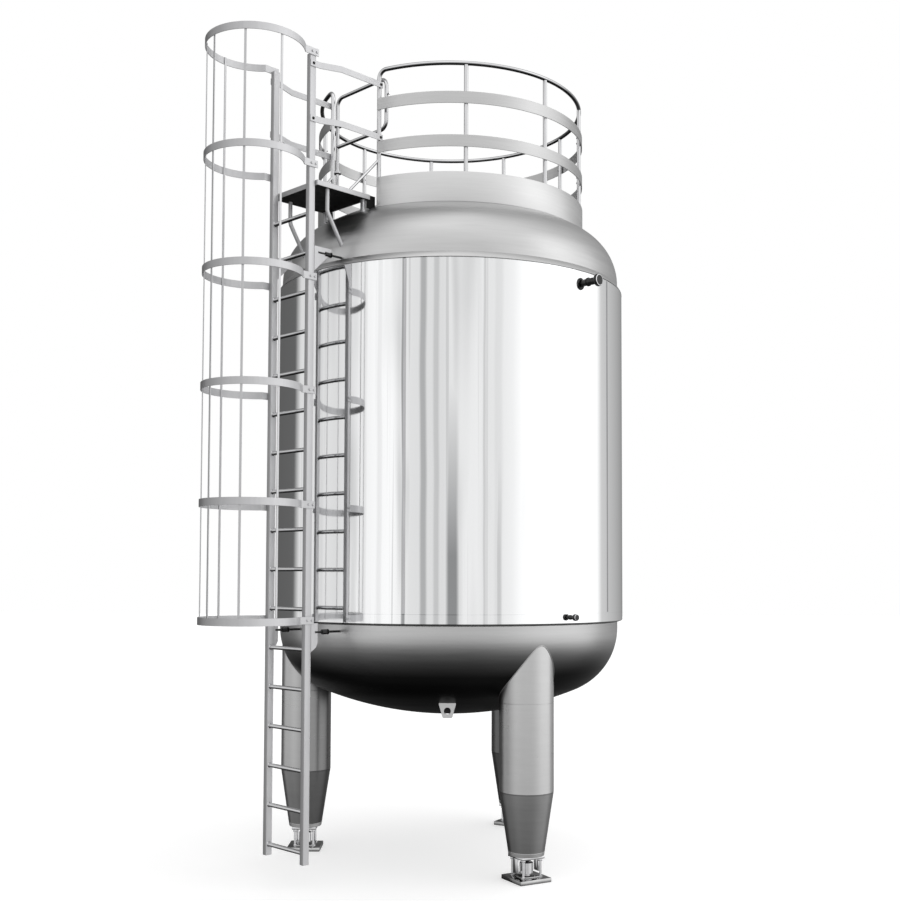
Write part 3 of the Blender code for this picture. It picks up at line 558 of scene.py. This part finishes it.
def makeHeads():
    outer, inner, rim = headSection(upperEnd)
    profile = rim[:1] + outer + inner[::-1] + rim[1:]
    addPiece("roofHead", spun(profile, 200), headSteel, ["upper_head"])
    low, top, radius = flashing["low"], flashing["top"], vessel["radius"]
    inside = radius - vessel["wall"]
    profile = [(inside, low), (radius, low), (radius - 0.001, low + 0.004), (flashing["shoulder"], top - 0.003),
               (flashing["lip"], top), (inside, top)]
    addPiece("roofFlashing", spun(profile, 200), headSteel, ["top_flashing"])
    outer, inner, rim = headSection(lowerEnd)
    addPiece("bottomHead", spun(outer[::-1] + rim + inner, 200), bottomSteel, ["lower_head"])


manway = {"radius": 0.25, "wall": 0.012, "top": 5.205, "lid": 0.285, "plate": 0.018, "rise": 0.022, "bolts": 12,
          "boltRing": 0.925, "handle": 0.15, "grip": 0.045, "bend": 0.018}


def makeManway():
    radius, top = manway["radius"], manway["top"]
    low = headHeight(upperEnd, radius) - vessel["wall"]
    inner = radius - manway["wall"]
    neck = roundedProfile([(inner, low), (radius, low), (radius, top), (inner, top)], 0.003)
    addPiece("manwayNeck", spun(neck, 96), headSteel, ["manway_neck"])
    base, lid, rise = top + 0.0003, manway["lid"], manway["rise"]
    rim = base + manway["plate"]
    outline = [(0, base), (lid, base), (lid, rim), (lid * 0.86, rim), (lid * 0.8, rim + 0.005),
               (lid * 0.55, rim + rise * 0.75), (lid * 0.25, rim + rise * 0.97), (0, rim + rise)]
    lidMesh = spun(roundedProfile(outline, 0.003), 96)
    addPiece("manwayLid", lidMesh, headSteel, ["manway_lid"])
    bm = bmesh.new()
    for i in range(manway["bolts"]):
        spot = (*polar(360 * (i + 0.5) / manway["bolts"], lid * manway["boltRing"]), rim + 0.0002)
        addBolt(bm, spot, (0, 0, 1), 0.011, 0.0085, 0.008)
    addPiece("manwayBolts", bm, footSteel)
    bm = bmesh.new()
    foot, high, bend = manway["handle"] / 2, rim + rise + manway["grip"], manway["bend"]
    handle = [(-foot, rim + 0.01)] + arcPoints((-foot + bend, high - bend), bend, 180, 90, 6)
    addTube(bm, [(x, 0, z) for x, z in handle] + [(-x, 0, z) for x, z in handle[::-1]], 0.007, 4)
    addPiece("manwayHandle", bm, tubeSteel)


curb = {"centre": 1.0655, "thickness": 0.01, "top": 5.102, "clearance": 0.002, "half": 15}


def makeCurb():
    outer = curb["centre"] + curb["thickness"] / 2
    inner = outer - curb["thickness"] + curb["clearance"]
    lowOut, lowIn = headHeight(upperEnd, outer) + 0.0005, headHeight(upperEnd, inner) + 0.0005
    profile = [(outer, lowOut), (outer, curb["top"]), (inner, curb["top"]), (inner, lowIn)]
    start, sweep = ladderPlan["angle"] + curb["half"], 360 - 2 * curb["half"]
    band = spun(roundedProfile(profile, 0.002, 2), 160, start, sweep)
    addPiece("roofCurb", band, curbSteel, ["roof_curb"])


makeCladding()
makeHeads()
makeManway()
makeCurb()
print("vessel made")


legs = {"circle": 1.135, "radius": 0.196, "angles": (-60, 60, 180), "coneTop": 0.634, "coneLow": 0.183,
        "coneFoot": 0.127, "seam": 1.262, "band": 0.03, "weld": 0.0035, "sides": 96}


def legTop(x, y):
    # the bottom head's height over a place in the leg's frame
    return headHeight(lowerEnd, min(hypot(x, legs["circle"] - y), lowerEnd["radius"] - 0.0001))


def makeLeg(number, angle):
    place = roundPlace(angle, legs["circle"])
    bm = bmesh.new()
    sides, radius, seam = legs["sides"], legs["radius"], legs["seam"]
    bottom = Matrix.Translation((0, 0, legs["coneTop"] + 0.0006))
    bmesh.ops.create_circle(bm, cap_ends=False, segments=sides, radius=radius, matrix=bottom)
    levels = [(seam - 0.002, radius), (seam - 0.0005, radius - 0.0006), (seam + 0.0005, radius - 0.0006),
              (seam + 0.002, radius), (None, radius)]
    front = list(bm.edges)
    bmesh.ops.contextual_create(bm, geom=front)
    for height, wide in levels:
        risen = bmesh.ops.extrude_edge_only(bm, edges=front)
        front = [item for item in risen["geom"] if isinstance(item, bmesh.types.BMEdge)]
        for vert in movedVerts(risen):
            x, y = vert.co.xy.normalized() * wide
            vert.co = (x, y, legTop(x, y) - 0.003 if height is None else height)
    bmesh.ops.contextual_create(bm, geom=front)
    addPiece(f"legShell_{number}", bm, legSteel, [f"leg_{number}"], place, sharp=20)
    bm = bmesh.new()
    ring = [polar(360 * i / sides, radius + 0.0005) for i in range(sides)]
    addTube(bm, [(x, y, legTop(x, y) - 0.001) for x, y in ring], legs["weld"], 2, True)
    addPiece(f"legWeld_{number}", bm, legSteel, [], place, sharp=60)
    low, top, foot, band = legs["coneLow"], legs["coneTop"] - 0.0003, legs["coneFoot"], legs["band"]
    slope = (radius - foot) / (top - low)
    bandTop = foot + band * slope
    cone = [(0, low + band), (bandTop, low + band), (radius - 0.012 * slope, top - 0.012),
            (radius - 0.0012, top - 0.004), (radius, top), (0, top)]
    addPiece(f"legCone_{number}", spun(cone, 96), coneSteel, [f"leg_cone_{number}"], place,
             sharp=30)
    rim = [(0, low), (foot - 0.002, low), (foot, low + 0.002), (bandTop, low + band - 0.002),
           (bandTop - 0.001, low + band), (0, low + band)]
    addPiece(f"legRim_{number}", spun(rim, 96), curbSteel, [], place, sharp=30)


foot = {"size": 0.26, "plate": 0.032, "pad": 0.16, "padTop": 0.04, "mount": 0.19, "mountPlate": 0.02,
        "cheek": 0.088, "cell": 0.048, "bolt": 0.0085, "nut": 0.0165, "washer": 0.0135, "offset": 0.072}


def makeFoot(number, angle):
    place = roundPlace(angle, legs["circle"])
    half, pad, mount, plate = foot["size"] / 2, foot["pad"] / 2, foot["mount"] / 2, foot["plate"]
    top = legs["coneLow"] - 0.0003
    under = top - foot["mountPlate"]
    bm = bmesh.new()
    addBox(bm, (-half, -half, 0), (half, half, plate), 0.005)
    addBox(bm, (-pad, -pad, plate), (pad, pad, foot["padTop"]), 0.002)
    addPiece(f"footPlate_{number}", bm, basePlate, [f"foot_{number}"], place)
    bm = bmesh.new()
    addBox(bm, (-mount, -mount, under), (mount, mount, top), 0.003)
    for side in (-foot["cheek"], foot["cheek"]):
        addBox(bm, (side - 0.006, -0.03, plate + 0.03), (side + 0.006, 0.03, under + 0.002), 0.002)
    addPiece(f"footHead_{number}", bm, footSteel, [], place)
    cell = foot["cell"]
    profile = [(0, plate + 0.006), (cell * 0.62, plate + 0.006), (cell * 0.62, plate + 0.02), (cell, plate + 0.024),
               (cell, under - 0.034), (cell * 0.72, under - 0.028), (cell * 0.55, under - 0.012),
               (cell * 0.8, under + 0.001), (0, under + 0.001)]
    addPiece(f"footCell_{number}", spun(profile, 48), footSteel, [], place)
    bm = bmesh.new()
    offset = foot["offset"]
    for x, y in ((-offset, -offset), (-offset, offset), (offset, -offset), (offset, offset)):
        addRod(bm, (x, y, plate), (x, y, under + 0.002), foot["bolt"], 12)
        addNut(bm, (x, y, plate + 0.0002), (0, 0, 1), foot["nut"], 0.013)
        addNut(bm, (x, y, under - 0.0005), (0, 0, -1), foot["nut"], 0.013)
        addRod(bm, (x, y, under - 0.02), (x, y, under - 0.016), foot["washer"], 20)
    addPiece(f"footBolts_{number}", bm, footSteel, [], place)


for number, angle in enumerate(legs["angles"], 1):
    makeLeg(number, angle)
    makeFoot(number, angle)
print("legs and feet made")


guard = {"circle": 1.045, "tube": 0.0158, "level": 5.9135, "half": 15, "corner": 0.06, "posts": 8, "post": 0.0152,
         "flatCircle": 1.0655, "flatHeight": 0.088, "flatThickness": 0.006, "nutRise": 0.022,
         "flats": (("upper", 5.652), ("lower", 5.33))}
railStart, railEnd = ladderPlan["angle"] + guard["half"], ladderPlan["angle"] - guard["half"] + 360
railFoot = headHeight(upperEnd, guard["circle"]) + 0.001
# the opening's post on the right, in the ladder's frame
postX = guard["circle"] * sin(radians(guard["half"]))
postY = ladderPlan["circle"] - guard["circle"] * cos(radians(guard["half"]))


def handrailPath():
    # up from the curb, along the rail and down the other side, as (angle, height) first
    circle, level, corner, steps = guard["circle"], guard["level"], guard["corner"], 150
    bend = [(0, railFoot)] + arcPoints((corner, level - corner), corner, 180, 90, 8)
    bend = [(degrees(run / circle), height) for run, height in bend]
    first, last = railStart + bend[-1][0], railEnd - bend[-1][0]
    turns = [(railStart + run, height) for run, height in bend]
    turns += [(first + (last - first) * i / steps, level) for i in range(1, steps)]
    turns += [(railEnd - run, height) for run, height in bend[::-1]]
    return [(*polar(angle, circle), height) for angle, height in turns]


def makeGuardRail():
    bm = bmesh.new()
    addTube(bm, handrailPath(), guard["tube"], 6)
    addPiece("handrailTube", bm, tubeSteel, ["handrail"])
    circle, rise = guard["circle"], guard["nutRise"]
    for i in range(1, guard["posts"] + 1):
        angle = railStart + (railEnd - railStart) * i / (guard["posts"] + 1)
        out, (x, y) = Vector((*polar(angle, 1), 0)), polar(angle, circle)
        bm = bmesh.new()
        addRod(bm, (x, y, railFoot), (x, y, guard["level"] - guard["tube"] * 0.9), guard["post"], 28)
        for height in [level + step for rail, level in guard["flats"] for step in (-rise, rise)]:
            addNut(bm, out * (circle - guard["post"] + 0.0002) + Vector((0, 0, height)), -out, 0.0065, 0.005)
        addPiece(f"guardPost_{i}", bm, tubeSteel, [f"rail_post_{i}"])
    path, half = arcPoints((0, 0), guard["flatCircle"], railStart, railEnd, 150), guard["flatHeight"] / 2
    for rail, level in guard["flats"]:
        addFlatPiece(f"{rail}FlatRail", f"{rail}_rail", path, level - half, level + half, guard["flatThickness"],
                     railSteel, tankPlace, 0.0012)


gate = {"top": 5.86, "bar": 5.48, "foot": 5.15, "end": 0.308, "hinge": (0.0085, 0.038), "tube": 0.014,
        "corner": 0.06, "hinges": (("Lower", 5.27), ("Upper", 5.64)), "plate": 0.012, "eye": 0.032,
        "collar": 0.0195, "collarHeight": 0.0157, "stop": 5.735}


def makeGate():
    hingeX, hingeY = gate["hinge"][0] - postX, gate["hinge"][1] + postY
    place = ladderPlace @ Matrix.Translation((hingeX, hingeY, 0))
    end, bend, top, bar = gate["end"] - hingeX, gate["corner"], gate["top"], gate["bar"]
    outline = [(0, gate["foot"]), (0, top - bend)]
    outline += arcPoints((bend, top - bend), bend, 180, 90, 8)[1:]
    outline += arcPoints((end - bend, top - bend), bend, 90, 0, 8)
    outline += arcPoints((end - bend, bar + bend), bend, 0, -90, 8)
    outline += [(gate["tube"] * 0.3, bar)]
    bm = bmesh.new()
    addTube(bm, [(x, 0, z) for x, z in outline], gate["tube"], 5)
    for rank, level in gate["hinges"]:
        seat = level + gate["plate"] + 0.0004
        addRod(bm, (0, 0, seat), (0, 0, seat + gate["collarHeight"]), gate["collar"], 28)
    for start, stop, radius in ((0, 0.03, 0.007), (0.03, 0.036, 0.011)):
        addRod(bm, (end + start, 0, gate["stop"]), (end + stop, 0, gate["stop"]), radius, 14)
    addPiece("gateLeaf", bm, tubeSteel, ["gate"], place, "gate_leaf", bevel=0.0006)
    for rank, level in gate["hinges"]:
        bm = bmesh.new()
        addRod(bm, (0, 0, level), (0, 0, level + gate["plate"]), gate["eye"], 40)
        addPiece(f"hinge{rank}", bm, tubeSteel, [f"gate_hinge_{rank.lower()}"], place, bevel=0.001)


makeGuardRail()
makeGate()
print("guard rail and gate made")


ladder = {"low": 0.17, "high": 5.87, "rungs": 17, "pitch": 0.28, "first": 0.247, "rung": 0.015, "round": 0.004,
          "weld": 0.004}


def makeLadder():
    bm = bmesh.new()
    offset, width, depth = ladderPlan["stringer"], ladderPlan["width"] / 2, ladderPlan["depth"] / 2
    for x in (-offset, offset):
        addBox(bm, (x - width, -depth, ladder["low"]), (x + width, depth, ladder["high"]), ladder["round"], 3)
    addPiece("ladderStringers", bm, ladderSteel, ["ladder"], ladderPlace)
    bm = bmesh.new()
    face, rung, weld = offset - width, ladder["rung"], ladder["weld"]
    for i in range(ladder["rungs"]):
        level = ladder["first"] + ladder["pitch"] * i
        addRod(bm, (-face - 0.001, 0, level), (face + 0.001, 0, level), rung, 20)
        for side in (-1, 1):
            addRod(bm, (side * (face + 0.0005), 0, level), (side * (face - weld), 0, level), rung + weld, 20, rung)
    addPiece("ladderRungs", bm, tubeSteel, [], ladderPlace)


cage = {"radius": 0.3494, "out": 0.3295, "height": 0.052, "thickness": 0.006, "top": 5.885, "bottom": 1.85,
        "count": 6, "tab": 0.045, "bars": 5, "spread": 43, "barWidth": 0.016, "barThickness": 0.006,
        "bolts": (-0.012, 0.026)}
flatOutside = ladderPlan["stringer"] + ladderPlan["width"] / 2 + cage["thickness"] / 2 + 0.0003


def makeCage():
    top, bottom, thick, half = cage["top"], cage["bottom"], cage["thickness"], cage["height"] / 2
    openHalf = degrees(asin(flatOutside / cage["radius"]))
    bow = arcPoints((0, -cage["out"]), cage["radius"], 90 + openHalf, 450 - openHalf, 90)
    path = [(-flatOutside, cage["tab"])] + bow + [(flatOutside, cage["tab"])]
    levels = [bottom + (top - bottom) * i / (cage["count"] - 1) for i in range(cage["count"])]
    for i, level in enumerate(levels, 1):
        addFlatPiece(f"cageHoop_{i}", f"cage_hoop_{i}", path, level - half, level + half, thick)
    radius = cage["radius"] * cos(radians(4)) - (thick + cage["barThickness"]) / 2 - 0.0006
    for i in range(cage["bars"]):
        angle = -90 + cage["spread"] * (i - (cage["bars"] - 1) / 2)
        across = Vector(polar(angle + 90, cage["barWidth"] / 2))
        middle = Vector(polar(angle, radius)) - Vector((0, cage["out"]))
        addFlatPiece(f"cageBar_{i + 1}", f"cage_bar_{i + 1}", [middle - across, middle + across], bottom - half,
                     top + half, cage["barThickness"])
    bm = bmesh.new()
    for level in levels:
        for side in (-1, 1):
            for y in cage["bolts"]:
                addBolt(bm, (side * (flatOutside + thick / 2), y, level), (side, 0, 0), 0.009, 0.0075, 0.006)
    addPiece("hoopBolts", bm, ladderSteel, [], ladderPlace)


# each mount: stud height, gusset outline in y and z, and where the stud meets the head
mounts = {"thickness": 0.008, "stud": 0.008, "nut": 0.018, "washer": 0.0198,
          "lower": (1.768, ((0.0263, 1.63), (0.07, 1.66), (0.085, 1.69), (0.085, 1.83), (0.0263, 1.83)), 0.2835),
          "upper": (4.452, ((0.0263, 4.315), (0.18, 4.465), (0.18, 4.495), (0.0263, 4.495)), 0.2725)}


def makeMounts():
    for rank in ("lower", "upper"):
        level, outline, wall = mounts[rank]
        for side, word in ((-1, "left"), (1, "right")):
            x = side * (ladderPlan["stringer"] + (ladderPlan["width"] - mounts["thickness"]) / 2)
            bm = bmesh.new()
            face = bm.faces.new([bm.verts.new((x - mounts["thickness"] / 2, y, z)) for y, z in outline])
            pushed = bmesh.ops.extrude_face_region(bm, geom=[face])
            bmesh.ops.translate(bm, verts=movedVerts(pushed), vec=(mounts["thickness"], 0, 0))
            addPiece(f"mountPlate_{word}_{rank}", bm, ladderSteel, [f"ladder_mount_{word}_{rank}"],
                     ladderPlace, bevel=0.0012)
            bm = bmesh.new()
            for start, stop, radius, sides in ((0.06, wall, mounts["stud"], 16), (0.122, 0.164, mounts["nut"], 6),
                                               (0.172, 0.178, mounts["washer"], 24)):
                addRod(bm, (x, start, level), (x, stop, level), radius, sides)
            addPiece(f"mountStud_{word}_{rank}", bm, darkSteel, [], ladderPlace, bevel=0.0012)


makeLadder()
makeCage()
makeMounts()
print("ladder and cage made")


deck = {"top": 4.965, "thickness": 0.036, "half": 0.255, "start": 0.03, "end": 0.52, "angle": 0.005,
        "tongue": 0.572, "tongueThickness": 0.006, "tongueInset": 0.01, "cheek": 0.006, "strut": 0.03,
        "offset": 0.218, "near": 0.15, "bend": 4.76, "land": 0.06, "inset": 0.035}


def makePlatform():
    top, low = deck["top"], deck["top"] - deck["thickness"]
    half, start, end, skin = deck["half"], deck["start"], deck["end"], deck["angle"]
    inner, reach = half - skin, deck["tongue"]
    bm = bmesh.new()
    addBox(bm, (-inner, start + skin, low + 0.002), (inner, end - skin, top - 0.001))
    side, tongue = half - deck["tongueInset"], top - 0.002
    addBox(bm, (-side, end - skin - 0.001, tongue - deck["tongueThickness"]), (side, reach, tongue))
    roof = roofHeight(half, end) + 0.004
    # the cheeks that close the gap down to the roof take the deck's near-black painted shade
    cheek = deck["cheek"]
    for x in (cheek - half, half - cheek):
        addBox(bm, (x - cheek / 2, end - 0.03, roof), (x + cheek / 2, reach, top - 0.004))
    addPiece("deckPanel", bm, deckPlate, ["platform"], ladderPlace)
    bm = bmesh.new()
    for x, y, farX, farY in ((-half, start, -inner, end), (inner, start, half, end),
                             (-inner, start, inner, start + skin), (-inner, end - skin, inner, end)):
        addBox(bm, (x, y, low), (farX, farY, top), 0.0015)
    addPiece("deckEdge", bm, ladderSteel, [], ladderPlace)
    strut, near, bend, back = deck["strut"] / 2, deck["near"], deck["bend"], end - deck["inset"]
    land = deck["land"] * 0.55
    bm = bmesh.new()
    for x in (-deck["offset"], deck["offset"]):
        wall = ladderPlan["circle"] - sqrt(upperEnd["radius"] ** 2 - x ** 2)
        addTube(bm, [(x, near, low + 0.002), (x, near, bend + 0.02), (x, near + 0.006, bend),
                     (x, wall + land, upperEnd["tangent"] + land)], strut, 5)
        roof = roofHeight(x, back - strut)
        addBox(bm, (x - strut, back - strut, roof - 0.004), (x + strut, back + strut, low + 0.001), 0.003)
    addPiece("deckStruts", bm, ladderSteel, [], ladderPlace)


sideRail = {"height": 0.046, "thickness": 0.006, "levels": {"lower": 5.402, "upper": 5.8}, "spread": 0.2935,
            "kink": (0.06, 0.21), "braceFoot": (0.2367, 0.3417), "braceTop": 5.24, "brace": 0.01}


def makeSideRails():
    thick, tall = sideRail["thickness"], sideRail["height"] / 2
    kink, spread = sideRail["kink"], sideRail["spread"]
    outline = [(flatOutside, -ladderPlan["depth"] / 2), (flatOutside, kink[0]), (spread, kink[1]),
               (spread, postY + guard["tube"])]
    for side, word in ((-1, "left"), (1, "right")):
        path = [(side * x, y) for x, y in outline]
        for rank, level in sideRail["levels"].items():
            addFlatPiece(f"sideRail_{word}_{rank}", f"side_rail_{word}_{rank}", path, level - tall, level + tall,
                         thick)
        bm = bmesh.new()
        for level in sideRail["levels"].values():
            for x, y in ((flatOutside, 0.0), (spread, postY - 0.004)):
                addBolt(bm, (side * (x + thick / 2), y, level), (side, 0, 0), 0.011, 0.0085, 0.007)
        addPiece(f"sideRailBolts_{word}", bm, darkSteel, [], ladderPlace)
        bm = bmesh.new()
        x, y = sideRail["braceFoot"]
        addRod(bm, (side * x, y, deck["top"]), (side * postX, postY, sideRail["braceTop"]), sideRail["brace"], 20)
        addPiece(f"deckBrace_{word}", bm, tubeSteel, [f"brace_{word}"], ladderPlace)


makePlatform()
makeSideRails()
print("platform and side rails made")


nozzles = (("topNozzle", "upper_nozzle", -42, 4.325, 0.095, 0.026),
           ("sampleNozzle", "sample_nozzle", -50.5, 1.872, 0.06, 0.014))


def makeNozzle(name, node, angle, height, length, radius):
    # z points away from the tank here, so each part is spun about it
    away = Matrix.Translation((0, 0, height)) @ Matrix.Rotation(pi / 2, 4, "X")
    place = roundPlace(angle, vessel["radius"]) @ away
    wide = radius * 1.75
    neck = [(0, 0.0005), (radius * 1.25, 0.0005), (radius * 1.25, 0.006), (radius, 0.01), (radius, length - 0.02),
            (0, length - 0.02)]
    clamp = [(radius * 0.9, length - 0.024), (wide * 0.94, length - 0.022), (wide, length - 0.014),
             (wide, length - 0.004), (wide * 0.94, length + 0.003), (radius * 0.98, length + 0.004),
             (radius * 0.94, length - 0.001)]
    rim = [(wide * 0.8, length), (wide * 0.93, length), (wide * 0.93, length + 0.0045),
           (wide * 0.8, length + 0.0055)]
    cap = [(0, length - 0.016), (radius * 0.9, length - 0.016), (radius * 0.9, length + 0.002),
           (wide * 0.81, length + 0.002), (wide * 0.81, length + 0.0045), (radius * 0.55, length + 0.0035),
           (0, length + 0.004)]
    for part, outline, edge, finish, nodes in (
            ("Neck", neck, 0.002, darkSteel, [node]), ("Clamp", clamp, 0.0015, darkSteel, []),
            ("Rim", rim, 0.001, footSteel, []), ("Cap", cap, 0.001, darkSteel, [])):
        bm = spun(roundedProfile(outline, edge, 2), 48)
        if part == "Clamp":
            # the clamp's lug and its wing bolt
            addBox(bm, (wide * 0.85, -0.008, length - 0.018), (wide * 1.12, 0.008, length - 0.002), 0.002)
            addRod(bm, (wide * 1.02, -0.016, length - 0.01), (wide * 1.02, 0.016, length - 0.01), 0.004, 12)
        addPiece(name + part, bm, finish, nodes, place)


lug = {"circle": 0.9, "width": 0.126, "footWidth": 0.068, "low": 1.136, "thickness": 0.012, "hole": 0.025,
       "waist": 0.1, "bite": 0.012, "sides": 32}


def lugReach(ray, half, middle, slope, low, high):
    # how far a ray from the hole runs to the plate's foot, top, upright or slanting side
    across = abs(ray.x)
    edges = ((low, ray.y), (high, ray.y), (half, across), (middle, across - slope * ray.y))
    return min(edge / pace for edge, pace in edges if edge * pace > 0)


def makeLug():
    half, narrow, deep, low = lug["width"] / 2, lug["footWidth"] / 2, lug["thickness"] / 2, lug["low"]
    level, slope, sides = low + lug["waist"] / 2, (half - narrow) / lug["waist"], lug["sides"]
    top = headHeight(lowerEnd, lug["circle"]) + lug["bite"]
    bm = bmesh.new()
    rays = [Vector(polar(360 * (i + 0.5) / sides, 1)) for i in range(sides)]
    middle = narrow + slope * (level - low)
    rim = [ray * lugReach(ray, half, middle, slope, low - level, top - level) for ray in rays]
    edges = []
    for outline in ([ray * lug["hole"] for ray in rays], rim):
        ring = [bm.verts.new((spot.x, -deep, level + spot.y)) for spot in outline]
        edges += [bm.edges.new((vert, ring[i - 1])) for i, vert in enumerate(ring)]
    bmesh.ops.bridge_loops(bm, edges=edges)
    risen = bmesh.ops.extrude_face_region(bm, geom=list(bm.faces))
    bmesh.ops.translate(bm, verts=movedVerts(risen), vec=(0, 2 * deep, 0))
    place = roundPlace(-90, lug["circle"])
    addPiece("bottomLug", bm, curbSteel, ["bottom_lug"], place, sharp=30, bevel=0.0012)


for nozzle in nozzles:
    makeNozzle(*nozzle)
makeLug()
print("nozzles and lug made")


# focal length and width in pixels, place from the tank's axis in metres, turns in radians
view = {"focal": 1202.46, "width": 901, "sensor": 36, "shift": 0.076, "place": (0.0802, -9.66868, 2.15475),
        "yaw": -0.00754, "pitch": 0.0484, "roll": 0.00368}


def makeCamera():
    # yaw, pitch and roll of a camera that looks along the y axis
    turns = ((-view["yaw"], "Z"), (pi / 2 + view["pitch"], "X"), (view["roll"], "Z"))
    yaw, pitch, roll = [Matrix.Rotation(turn, 4, axis) for turn, axis in turns]
    data = bpy.data.cameras.new("photoCamera")
    data.lens, data.sensor_width = view["focal"] * view["sensor"] / view["width"], view["sensor"]
    data.shift_y, data.clip_end = view["shift"], 200
    camera = newObject("photoCamera", data)
    camera.matrix_world = Matrix.Translation(tankAxis + Vector(view["place"])) @ yaw @ pitch @ roll
    bpy.context.scene.camera = camera


# ramps of (degrees, brightness), with 0 towards the camera or level
studio = {"floor": 60.0, "floorTone": 0.64, "floorGlow": 0.52, "reflected": 1.25, "tent": (0.28, 1.65),
          "screens": [(-180, 0.12), (-153, 0.09), (-120, 0.1), (-113, 0.6), (-75, 0.66), (-50, 0.86),
                      (-20, 0.74), (15, 0.7), (30, 0.73), (50, 0.88), (62, 1.0), (104, 1.0), (112, 0.85),
                      (117, 0.5), (150, 0.3), (168, 0.2), (180, 0.12)],
          "ceiling": [(-180, 0.3), (-120, 0.22), (-80, 0.38), (-30, 0.88), (60, 0.9), (110, 0.58), (180, 0.3)],
          "ceilingRise": (22, 48),
          "floorFade": [(-90, 0.12), (-60, 0.16), (-40, 0.18), (-24, 0.3), (-10, 0.8), (-4, 1.0), (60, 1.0),
                        (80, 0.85), (90, 0.8)],
          "lights": (("keyLight", (10.2, -3.0, 9.0), (0, 0, 3.4), (5.0, 7.0), 38),
                     ("topLight", (-1.5, -3.0, 13.0), (0, 0, 4.0), (7.0, 7.0), 30))}


def makeFloor():
    bm = bmesh.new()
    lowered = Matrix.Translation((0, 0, -0.001))
    bmesh.ops.create_grid(bm, x_segments=1, y_segments=1, size=studio["floor"], matrix=lowered)
    made, tree, shader = newMaterial("paleFloor")
    setInputs(tree, shader, {"Base Color": grey(studio["floorTone"]), "Roughness": 0.9, "Emission Color": grey(1.0),
                             "Emission Strength": studio["floorGlow"]})
    floor = newObject("studioFloor", meshOf("studioFloor", bm))
    floor.data.materials.append(made)
    floor.visible_glossy = floor.visible_diffuse = False


def makeWorld():
    # white to the camera, and in reflections a studio with a dark floor and grey screens behind the tank
    world = bpy.data.worlds.new("softStudio")
    bpy.context.scene.world = world
    world.use_nodes = True
    tree = world.node_tree
    tree.nodes.clear()
    x, y, z = splitAxes(tree, addNode(tree, "TexCoord").outputs["Generated"])
    angle = addMath(tree, "ARCTAN2", x, addMath(tree, "MULTIPLY", y, -1.0))
    rise = addMath(tree, "ARCSINE", z)

    def addBand(value, turn, stops):
        # a ramp over this many degrees, with its middle at 0
        place = addMath(tree, "MULTIPLY_ADD", value, 1 / radians(turn), 0.5)
        return addRamp(tree, place, [(stop / turn + 0.5, level) for stop, level in stops])
    sides, ceiling = addBand(angle, 360, studio["screens"]), addBand(angle, 360, studio["ceiling"])
    lift = addRange(tree, rise, *[radians(bound) for bound in studio["ceilingRise"]])
    column = addBand(rise, 180, studio["floorFade"])
    mirrored = addMix(tree, 1.0, addMix(tree, lift, sides, ceiling), column, "MULTIPLY")
    tent = addRange(tree, x, -0.9, 0.9, *studio["tent"])
    seen, reflected, diffuse = [
        addNode(tree, "Background", {"Color": colour, "Strength": strength}).outputs["Background"]
        for colour, strength in ((grey(1.0), 1.0), (mirrored, studio["reflected"]), (tent, 1.0))]
    path = addNode(tree, "LightPath").outputs
    indirect = addNode(tree, "MixShader", {"Fac": path["Is Diffuse Ray"], 1: reflected, 2: diffuse})
    choose = addNode(tree, "MixShader", {"Fac": path["Is Camera Ray"], 1: indirect.outputs["Shader"], 2: seen})
    addNode(tree, "OutputWorld", {"Surface": choose.outputs["Shader"]})


def makeLight(name, place, target, size, power):
    data = bpy.data.lights.new(name, "AREA")
    data.shape = "RECTANGLE"
    data.size, data.size_y, data.energy = *size, power
    turn = (Vector(target) - Vector(place)).to_track_quat("-Z", "Y").to_matrix().to_4x4()
    newObject(name, data).matrix_world = Matrix.Translation(place) @ turn


makeCamera()
makeFloor()
makeWorld()
for light in studio["lights"]:
    makeLight(*light)
bpy.context.scene.view_settings.view_transform = "Standard"
print("studio made")
